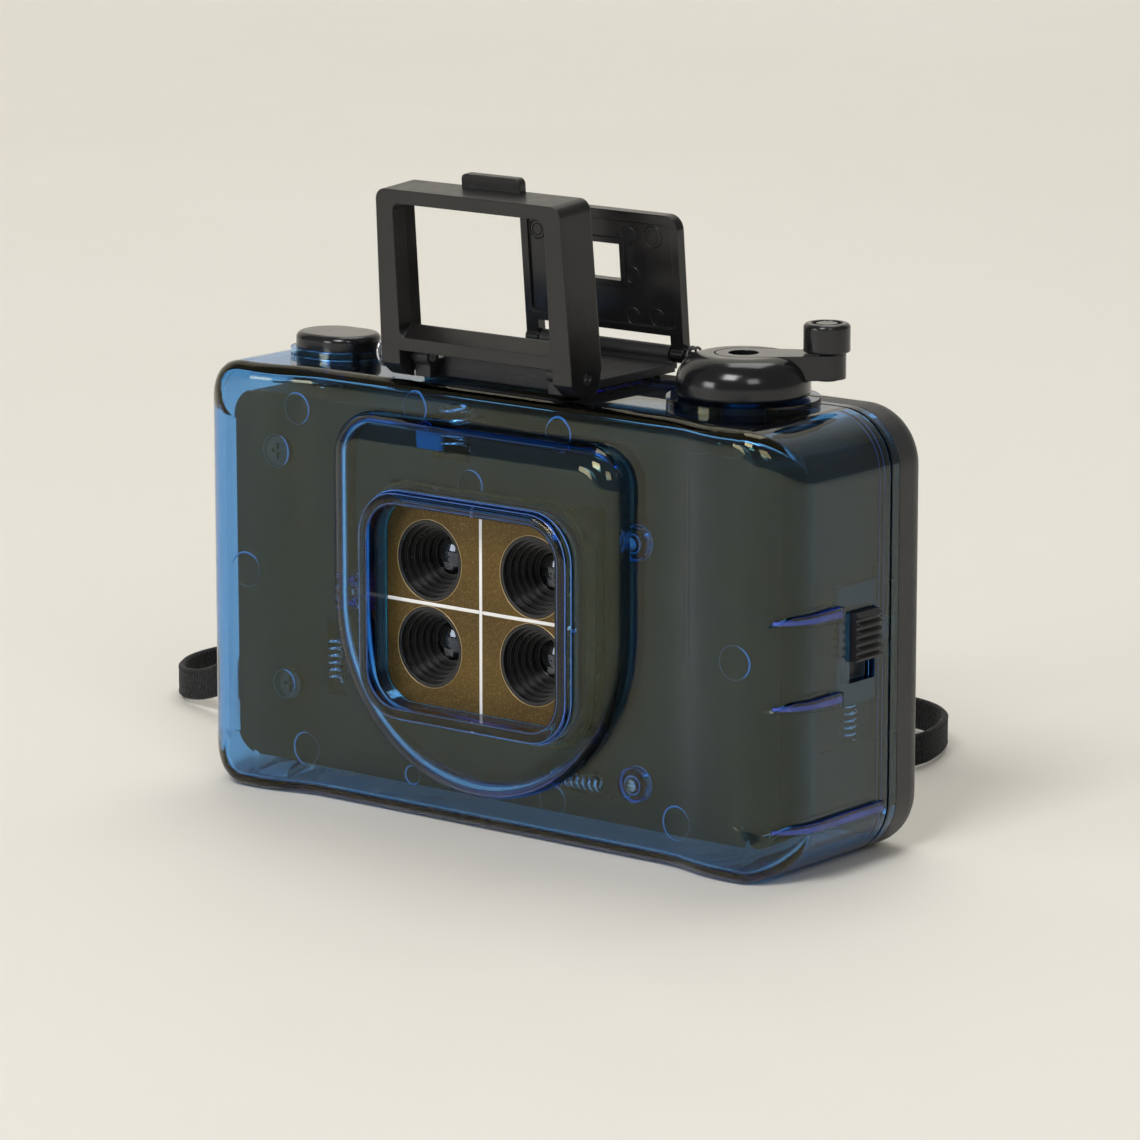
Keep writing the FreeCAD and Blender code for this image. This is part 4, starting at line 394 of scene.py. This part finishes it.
def add_ring(bm, spot, normal, radius, tube, arc=(0.0, 360.0), taper=False, flat=0.6):
    """A low round bead in a circle or an arc of one; a tapered arc thins out toward its ends."""
    side, up, out = facing(normal)
    sweep = arc[1] - arc[0]
    whole = sweep >= 360.0
    count = max(12, int(sweep / 6.0))
    rings = []
    for step in range(count if whole else count + 1):
        share = step / count
        angle = math.radians(arc[0] + sweep * share)
        away = side * math.cos(angle) + up * math.sin(angle)
        here = tube * (math.sin(math.pi * share) ** 0.6 + 0.06 if taper else 1.0)
        ring = []
        for swing in range(0, 360, 45):
            swing = math.radians(swing)
            shift = away * (radius + here * math.cos(swing)) + out * (here * flat * math.sin(swing))
            ring.append(bm.verts.new((Vector(spot) + shift) * MM))
        rings.append(ring)
    skin(bm, rings, closed=whole)


BAR_SECTION = [(-0.5, 0.0), (-0.47, 0.62), (-0.34, 0.92), (0.0, 1.0), (0.34, 0.92), (0.47, 0.62), (0.5, 0.0)]
BAR_END_STEPS = 3
BAR_TIP = 0.15


def add_bar(bm, one, other, normal, width, height):
    """A low bar with a rounded back and rounded ends between two points on a face."""
    one = Vector(one)
    other = Vector(other)
    out = Vector(normal).normalized()
    along = (other - one).normalized()
    across = out.cross(along)
    swings = [math.pi / 2 * step / BAR_END_STEPS for step in range(BAR_END_STEPS + 1)]
    ends = [(width / 2 * (1 - math.cos(swing)), max(BAR_TIP, math.sin(swing))) for swing in swings]
    stations = [(one + along * inset, size) for inset, size in ends]
    stations += [(other - along * inset, size) for inset, size in reversed(ends)]
    loops = []
    for spot, size in stations:
        rise = height * (0.5 + 0.5 * size)
        points = [spot + across * (x * width * size) + out * (y * rise) for x, y in BAR_SECTION]
        loops.append([bm.verts.new(point * MM) for point in points])
    skin(bm, loops)


BEAD_SIDES = 6


def nearest_turn(last, first):
    """How many points the first ring is turned by, so that its points are nearest to the last ring's."""
    def distance(turn):
        return sum((last[k].co - first[(k + turn) % BEAD_SIDES].co).length for k in range(BEAD_SIDES))
    return min(range(BEAD_SIDES), key=distance)


def add_bead(bm, points, tube, closed=True):
    """A thin round bead along a line of points."""
    points = [Vector(p) for p in points]
    count = len(points)
    rings = []
    side = None
    for index, point in enumerate(points):
        before = points[index - 1] if closed or index else point
        after = points[(index + 1) % count] if closed or index < count - 1 else point
        ahead = (after - before).normalized()
        if side is None:
            side = ahead.orthogonal()
        side = (side - ahead * side.dot(ahead)).normalized()
        up = ahead.cross(side)
        ring = []
        for k in range(BEAD_SIDES):
            swing = 2 * math.pi * k / BEAD_SIDES
            shift = side * (tube * math.cos(swing)) + up * (tube * math.sin(swing))
            ring.append(bm.verts.new((point + shift) * MM))
        rings.append(ring)
    # The section may turn on the way round a closed line
    turn = nearest_turn(rings[-1], rings[0]) if closed else 0
    skin(bm, rings, closed, turn)


def rounded_outline(half, low, high, radius, y, middle=0.0, steps=9):
    """Points of an upright rounded rectangle, seen from the front."""
    points = []
    for cx, cz, start in ((half - radius, low + radius, -90), (half - radius, high - radius, 0),
                          (radius - half, high - radius, 90), (radius - half, low + radius, 180)):
        for step in range(steps):
            angle = math.radians(start + 90.0 * step / (steps - 1))
            points.append((middle + cx + radius * math.cos(angle), y, cz + radius * math.sin(angle)))
    return points


# Lens plate: white cross between the lenses, and a pale gold ring round each hole that is a painted highlight
# of the hole's edge

CROSS_HALF = 17.6
CROSS_LOW = 15.6
CROSS_HIGH = 45.8
CROSS_LINE = 0.5
CROSS_UPRIGHT = 0.52
CROSS_RISE = 0.07
HOLE_GLINT_R = 5.66
HOLE_GLINT_TUBE = 0.05

bm = bmesh.new()
for start, end in ((-CROSS_HALF, -CROSS_LINE / 2), (CROSS_LINE / 2, CROSS_HALF)):
    add_bar(bm, (start, PLATE_FRONT, LENS_Z), (end, PLATE_FRONT, LENS_Z), FRONTWARD, CROSS_LINE, CROSS_RISE)
foot = (0.0, PLATE_FRONT, CROSS_LOW)
head = (0.0, PLATE_FRONT, CROSS_HIGH)
add_bar(bm, foot, head, FRONTWARD, CROSS_UPRIGHT, CROSS_RISE)
finish_piece("plate_cross_lines", bm, "white")

# Pale gold rings round the holes: painted highlight on the holes' edges
bm = bmesh.new()
for x in (-LENS_X_OFF, LENS_X_OFF):
    for z in (LENS_Z - LENS_Z_OFF, LENS_Z + LENS_Z_OFF):
        add_ring(bm, (x, PLATE_FRONT, z), FRONTWARD, HOLE_GLINT_R, HOLE_GLINT_TUBE, flat=0.8)
finish_piece("plate_hole_painted_glints", bm, "gold")


# Round marks of the ejector pins inside the clear shell, in pale blue that is painted highlight: centre,
# radius, and the arc of the brighter painted highlight

SHELL_MARKS = (
    ((-33.9, -13.25, 54.6), 2.2, (-70.0, 130.0)), ((-42.1, -14.62, 31.2), 2.4, (20.0, 170.0)),
    ((-3.2, -12.62, 47.4), 2.1, (-80.0, 110.0)), ((-12.9, -12.62, 56.9), 2.0, (-60.0, 120.0)),
    ((12.0, -12.62, 56.2), 2.1, (-90.0, 175.0)), ((32.4, -12.8, 6.15), 2.3, (20.0, 300.0)),
    ((42.9, -14.62, 29.7), 2.3, (-60.0, 80.0)), ((-13.6, -12.62, 5.7), 1.3, (60.0, 330.0)),
    ((11.0, -12.62, 5.9), 2.2, (20.0, 150.0)), ((-32.9, -12.9, 6.6), 2.3, (80.0, 270.0)),
    ((-38.4, -12.62, 48.1), 2.3, (-60.0, 75.0)), ((-37.3, -12.62, 15.2), 2.0, (-20.0, 95.0)),
    ((-24.3, -12.62, 26.8), 1.6, (-40.0, 80.0)))
MARK_TUBE = 0.018
MARK_GLINT_TUBE = 0.15

bm = bmesh.new()
for spot, radius, arc in SHELL_MARKS:
    add_ring(bm, spot, BACKWARD, radius, MARK_TUBE)
    add_ring(bm, spot, FRONTWARD, radius, MARK_GLINT_TUBE, arc, taper=True)
finish_piece("shell_ejector_mark_glints", bm, "glint")


# Painted highlight rings round the three screw posts: place, radius and tube of each ring

SCREW_POSTS = ((24.6, 42.9), (24.6, 10.1), (-24.9, 30.0))
POST_GLINTS = ((-11.4, 2.3, 0.14), (-12.5, 1.25, 0.12))

bm = bmesh.new()
for x, z in SCREW_POSTS:
    for y, radius, tube in POST_GLINTS:
        add_ring(bm, (x, y, z), FRONTWARD, radius, tube)
finish_piece("screw_post_glints", bm, "glint")


# Blue pad beside the upper shutter spring; its levels give the size's share and the rise

PAD_X = -11.2
PAD_Y = -11.25
PAD_Z = 52.9
PAD_HALF_W = 2.35
PAD_HALF_H = 1.95
PAD_CORNER = 0.5
PAD_LEVELS = ((1.0, 0.0), (1.0, 0.35), (0.93, 0.5), (0.8, 0.55))

bm = bmesh.new()
outline = rounded_outline(PAD_HALF_W, -PAD_HALF_H, PAD_HALF_H, PAD_CORNER, PAD_Y, steps=6)
skin(bm, [[bm.verts.new(mm(PAD_X + x * size, y - rise, PAD_Z + z * size)) for x, y, z in outline]
          for size, rise in PAD_LEVELS])
finish_piece("spring_pad", bm, "pad")


# Window: painted highlight lines round its rim, a teal painted highlight line where its collar meets the
# plate, and a black frame round the collar that is painted shadow. All its outlines lie evenly inside each
# other

WINDOW_WIDER = 2.4
WINDOW_STRAIGHT = 11.6
RIM_LINES = ((18.28, -18.4, 0.07), (17.95, -19.27, 0.05), (16.62, -19.23, 0.05))
COLLAR_LINE = (16.56, -15.35, 0.07)
SHADOW_FRAME_INSIDE = 18.27
SHADOW_FRAME_SECTION = ((0.0, -15.04), (0.5, -15.04), (0.55, -15.1), (0.55, -16.5), (0.5, -16.56), (0.0, -16.56))


def window_outline(half, y):
    """The window's outline at a half-width and a depth."""
    tall = half - WINDOW_WIDER
    return rounded_outline(half, LENS_Z - tall, LENS_Z + tall, half - WINDOW_STRAIGHT, y)


# Lines round the rim: painted highlights
bm = bmesh.new()
for half, y, tube in RIM_LINES:
    add_bead(bm, window_outline(half, y), tube)
finish_piece("window_rim_highlights", bm, "line")

bm = bmesh.new()
half, y, tube = COLLAR_LINE
add_bead(bm, window_outline(half, y), tube)
finish_piece("window_collar_highlight", bm, "teal")

# Black frame round the collar: painted shadow in the recess along the plate's edge
bm = bmesh.new()
skin(bm, [[bm.verts.new(mm(*point)) for point in window_outline(SHADOW_FRAME_INSIDE + out, y)]
          for out, y in SHADOW_FRAME_SECTION], closed=True)
finish_piece("window_painted_shadow_frame", bm, "barrel", smooth=False)


# Painted highlight lines along the step inside the shell's rear edge, open along the base, where the release
# pin passes

STEP_INSET = 0.55
STEP_LINES = ((6.6, 0.06), (5.6, 0.05))

step_half = BODY_W / 2 - STEP_INSET
step_high = BODY_H - STEP_INSET
step_radius = BODY_CORNER - STEP_INSET
bm = bmesh.new()
for y, tube in STEP_LINES:
    outline = rounded_outline(step_half, STEP_INSET, step_high, step_radius, y)
    add_bead(bm, outline, tube, closed=False)
finish_piece("shell_step_highlights", bm, "line")


# Violet cores inside the finger ribs: each rib's height and rear end

RIBS = ((35.5, -3.7), (24.1, -3.7), (7.6, 5.8))
CORE_PROUD = 0.42
CORE_CROWN = 0.12
CORE_DEPTH = 0.3
CORE_HALF = 0.46
CORE_THINS = 0.22
CORE_CLIMB = 0.1

wall_x = BODY_W / 2 + CORE_PROUD
turn_x = BODY_W / 2 - SIDE_R
turn_y = SIDE_R - HALF_DEPTH
turn_r = SIDE_R + CORE_PROUD
bm = bmesh.new()
for height, rear in RIBS:
    line = [(wall_x, rear + (turn_y - rear) * step / 4) for step in range(5)]
    for angle in range(6, 49, 6):
        angle = math.radians(angle)
        line.append((turn_x + turn_r * math.cos(angle), turn_y - turn_r * math.sin(angle)))
    loops = []
    for index, (x, y) in enumerate(line):
        share = index / (len(line) - 1)
        half = CORE_HALF - CORE_THINS * share
        z = height + CORE_CLIMB * (share - 0.5)
        section = ((CORE_CROWN, -half * 0.8), (CORE_CROWN, half * 0.8), (0.0, half),
                   (-CORE_DEPTH, half), (-CORE_DEPTH, -half), (0.0, -half))
        loops.append([bm.verts.new(mm(x + dx, y, z + dz)) for dx, dz in section])
    skin(bm, loops)
finish_piece("finger_rib_cores", bm, "rib", smooth=False)


# Raised frame and winding arrow on the back

FRAME_HALF = 29.5
FRAME_LOW = 9.0
FRAME_HIGH = 43.6
FRAME_MIDDLE = -14.5
SUNK = 0.02
FRAME_BEADS = ((0.0, 4.0, HALF_DEPTH, 0.28), (1.2, 2.9, HALF_DEPTH - SUNK, 0.12))
ARROW_Z = 47.2
ARROW_TAIL_X = -30.2
ARROW_NECK_X = -39.4
ARROW_TIP_X = -39.6
BARB_X = -37.4
BARB_UP = 1.7
ARROW_LINE = 0.7
ARROW_RISE = 0.16

bm = bmesh.new()
for inset, radius, y, tube in FRAME_BEADS:
    low = FRAME_LOW + inset
    high = FRAME_HIGH - inset
    outline = rounded_outline(FRAME_HALF - inset, low, high, radius, y, FRAME_MIDDLE)
    add_bead(bm, outline, tube)
finish_piece("back_frame_bead", bm, "back", "back")

bm = bmesh.new()
for tail, end in (((ARROW_TAIL_X, ARROW_Z), ARROW_NECK_X),
                  ((BARB_X, ARROW_Z + BARB_UP), ARROW_TIP_X), ((BARB_X, ARROW_Z - BARB_UP), ARROW_TIP_X)):
    one = (tail[0], HALF_DEPTH - SUNK, tail[1])
    other = (end, HALF_DEPTH - SUNK, ARROW_Z)
    add_bar(bm, one, other, BACKWARD, ARROW_LINE, ARROW_RISE)
finish_piece("back_wind_arrow", bm, "white", "back")


# Rims of the ejector-pin recesses on the leaning front face of the rear sight: centre and radius

SIGHT_MARKS = (
    ((7.37, 12.95, 79.13), 1.5), ((3.11, 12.97, 78.96), 1.25), ((3.54, 13.47, 73.51), 1.15),
    ((3.32, 14.01, 67.75), 1.15), ((7.49, 13.99, 67.9), 1.2), ((-6.7, 12.97, 78.96), 1.25),
    ((-12.85, 12.95, 78.4), 1.3), ((-7.1, 13.47, 73.51), 1.15), ((-6.9, 14.01, 67.75), 1.15),
    ((-12.4, 13.99, 68.5), 1.2))
SIGHT_FACING = (0.0, -0.996, -0.092)
INNER_RIM = 0.62

bm = bmesh.new()
for spot, radius in SIGHT_MARKS:
    add_ring(bm, spot, SIGHT_FACING, radius, 0.1, flat=0.8)
    add_ring(bm, spot, SIGHT_FACING, radius * INNER_RIM, 0.05)
finish_piece("sight_ejector_marks", bm, "sight", "sight")


# Wrist strap: woven tape that follows the route's spline, standing on its edge

STRAP = [
    (-55.2, 12.9, 13.5), (-60.5, 14.6, 13.3), (-66.4, 18.8, 10.8), (-66.8, 25.8, 6.9), (-60.6, 31.4, 3.6),
    (-50.6, 34.4, 2.6), (-38.0, 36.4, 2.5), (-24.0, 39.6, 2.5), (-9.0, 42.4, 2.5), (6.0, 42.8, 2.5),
    (18.6, 44.8, 2.5), (25.2, 51.6, 2.6), (23.6, 60.2, 2.9), (18.4, 68.4, 2.9), (8.0, 72.2, 2.7),
    (-5.0, 70.8, 2.6), (-19.0, 67.0, 2.5), (-33.0, 64.6, 2.5), (-48.0, 62.2, 2.5), (-62.0, 59.2, 2.5),
    (-75.0, 54.8, 2.5), (-86.0, 47.0, 2.5), (-92.4, 37.0, 2.5), (-92.2, 26.4, 2.5), (-86.4, 18.8, 2.6),
    (-78.6, 16.2, 3.8), (-71.2, 14.9, 7.4), (-64.6, 12.9, 11.6), (-59.6, 11.4, 13.5), (-55.2, 10.3, 13.5)]
STRAP_Z = 13.5
SPLINE_STEPS = 24
TAPE_W = 4.6
TAPE_T = 0.9
TAPE_STEP = 0.22
TAPE_COLUMNS = 13
WEAVE_PITCH = 0.85
WEAVE_DEPTH = 0.07
WEAVE_BACK_SHIFT = 1.2
WEAVE_COLUMNS = 3
HALF_WAVE = 3.14
SELVAGE_FROM = 0.72
SELVAGE_TO = 0.97
SELVAGE_SWELL = 1.12
OUTER_FROM = 0.98
OUTER_THICKNESS = 0.16
LOOP_R = 1.3
LOOP_ENDS_X = (-56.6, -55.4)


def spline_points(points, per_run):
    """Points along the NURBS curve whose control points are the route."""
    data = bpy.data.curves.new("strap_route", "CURVE")
    data.dimensions = "3D"
    line = data.splines.new("NURBS")
    line.points.add(len(points) - 1)
    for spot, point in zip(line.points, points):
        spot.co = (*mm(*point), 1.0)
    line.order_u = 3
    line.use_endpoint_u = True
    line.resolution_u = per_run
    holder = bpy.data.objects.new("strap_route", data)
    scene.collection.objects.link(holder)
    bpy.context.view_layer.update()
    mesh = bpy.data.meshes.new_from_object(holder)
    spots = [v.co.copy() for v in mesh.vertices]
    bpy.data.objects.remove(holder)
    bpy.data.meshes.remove(mesh)
    return spots


def even_spots(line, gap):
    """Evenly spaced points on a line and its length, so that the weave keeps its pitch."""
    reached = [0.0]
    for one, other in zip(line, line[1:]):
        reached.append(reached[-1] + (other - one).length)
    total = reached[-1]
    count = int(total / gap)
    spots = []
    at = 0
    for index in range(count + 1):
        want = total * index / count
        while at < len(reached) - 2 and reached[at + 1] < want:
            at += 1
        share = (want - reached[at]) / max(1e-9, reached[at + 1] - reached[at])
        spots.append(line[at].lerp(line[at + 1], share))
    return spots, total


def tape_half_thickness(run, share, face):
    """Half the tape's thickness in mm: weave in columns, a thicker selvage and a thin outer edge."""
    edge = abs(share)
    if edge > OUTER_FROM:
        return TAPE_T * OUTER_THICKNESS
    shift = HALF_WAVE if int((share + 1) * WEAVE_COLUMNS) % 2 else 0.0
    weave = math.sin(run / (WEAVE_PITCH * MM) * 2 * math.pi + face * WEAVE_BACK_SHIFT + shift)
    swell = SELVAGE_SWELL if SELVAGE_FROM < edge < SELVAGE_TO else 1.0
    return TAPE_T / 2 * swell + WEAVE_DEPTH * weave


def make_tape(name, line, body):
    """A flat woven tape along a line, standing on its edge; gives the piece and its length."""
    spots, total = even_spots(line, TAPE_STEP * MM)
    count = len(spots) - 1
    bm = bmesh.new()
    rings = []
    for index, spot in enumerate(spots):
        ahead = (spots[min(index + 2, count)] - spots[max(index - 2, 0)]).normalized()
        up = Vector((0, 0, 1))
        up = (up - ahead * up.dot(ahead)).normalized()
        side = ahead.cross(up)
        run = total * index / count
        ring = []
        for face in (1, -1):
            for column in range(TAPE_COLUMNS):
                share = (column / (TAPE_COLUMNS - 1) * 2 - 1) * face
                thick = tape_half_thickness(run, share, face)
                ring.append(bm.verts.new(spot + up * (share * TAPE_W / 2 * MM) + side * (face * thick * MM)))
        rings.append(ring)
    skin(bm, rings)
    return finish_piece(name, bm, "webbing", body), total


strap_line = spline_points(STRAP, SPLINE_STEPS)
strap, strap_length = make_tape("wrist_strap", strap_line, "back")
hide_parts("strap")

# The tape's short loop round the strap bar, from one end of the route round to the other
loop_line = [mm(x, STRAP_BAR_Y + LOOP_R, STRAP_Z) for x in LOOP_ENDS_X]
for angle in range(0, 181, 12):
    x = STRAP_BAR_X + LOOP_R * math.sin(math.radians(angle))
    y = STRAP_BAR_Y + LOOP_R * math.cos(math.radians(angle))
    loop_line.append(mm(x, y, STRAP_Z))
loop_line += [mm(x, STRAP_BAR_Y - LOOP_R, STRAP_Z) for x in reversed(LOOP_ENDS_X)]
make_tape("strap_bar_loop", loop_line, "back")


# Floor and backdrop in one sweep, in metres

SWEEP_NEAR = -2.0
SWEEP_FAR = 0.9
SWEEP_R = 0.6
SWEEP_TOP = 2.6
SWEEP_HALF_W = 3.0
SWEEP_STEPS = 16

profile = [(SWEEP_NEAR, 0.0), (SWEEP_FAR, 0.0)]
for step in range(1, SWEEP_STEPS + 1):
    angle = math.pi / 2 * step / SWEEP_STEPS
    profile.append((SWEEP_FAR + SWEEP_R * math.sin(angle), SWEEP_R - SWEEP_R * math.cos(angle)))
profile.append((SWEEP_FAR + SWEEP_R, SWEEP_TOP))
bm = bmesh.new()
left, right = [[bm.verts.new((x, y, z)) for y, z in profile] for x in (-SWEEP_HALF_W, SWEEP_HALF_W)]
for k in range(len(profile) - 1):
    bm.faces.new((left[k], right[k], right[k + 1], left[k + 1]))
sweep_mesh = bpy.data.meshes.new("studio_sweep")
bm.to_mesh(sweep_mesh)
bm.free()
for face in sweep_mesh.polygons:
    face.use_smooth = True
sweep_mesh.materials.append(floor_material())
sweep = bpy.data.objects.new("studio_sweep", sweep_mesh)
sweep.rotation_euler = (0, 0, TURN)
scene.collection.objects.link(sweep)
sweep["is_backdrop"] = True


# Soft studio light

LAMPS_AIM = Vector((0, 0, 0.03))
WORLD_STRENGTH = 0.2


def softbox(name, spot, size, power):
    """A rectangular lamp, in metres and watts, turned to the object."""
    data = bpy.data.lights.new(name, "AREA")
    data.shape = "RECTANGLE"
    data.size, data.size_y = size
    data.energy = power
    item = bpy.data.objects.new(name, data)
    item.location = spot
    item.rotation_mode = "QUATERNION"
    item.rotation_quaternion = (LAMPS_AIM - Vector(spot)).to_track_quat("-Z", "Y")
    scene.collection.objects.link(item)


softbox("key_softbox", (0.3, -1.9, 2.15), (1.0, 1.0), 39.0)
softbox("fill_softbox", (1.9, -1.3, 1.5), (0.8, 0.9), 9.5)
softbox("top_softbox", (-0.4, 0.9, 2.6), (1.4, 1.4), 21.0)
softbox("front_softbox", (-0.84, -1.89, 0.44), (0.7, 0.6), 9.0)

world = bpy.data.worlds.new("soft_room")
scene.world = world
world.use_nodes = True
sky = world.node_tree.nodes["Background"]
sky.inputs["Color"].default_value = (1.0, 1.0, 1.0, 1.0)
sky.inputs["Strength"].default_value = WORLD_STRENGTH

scene.view_settings.view_transform = "Standard"

low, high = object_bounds()
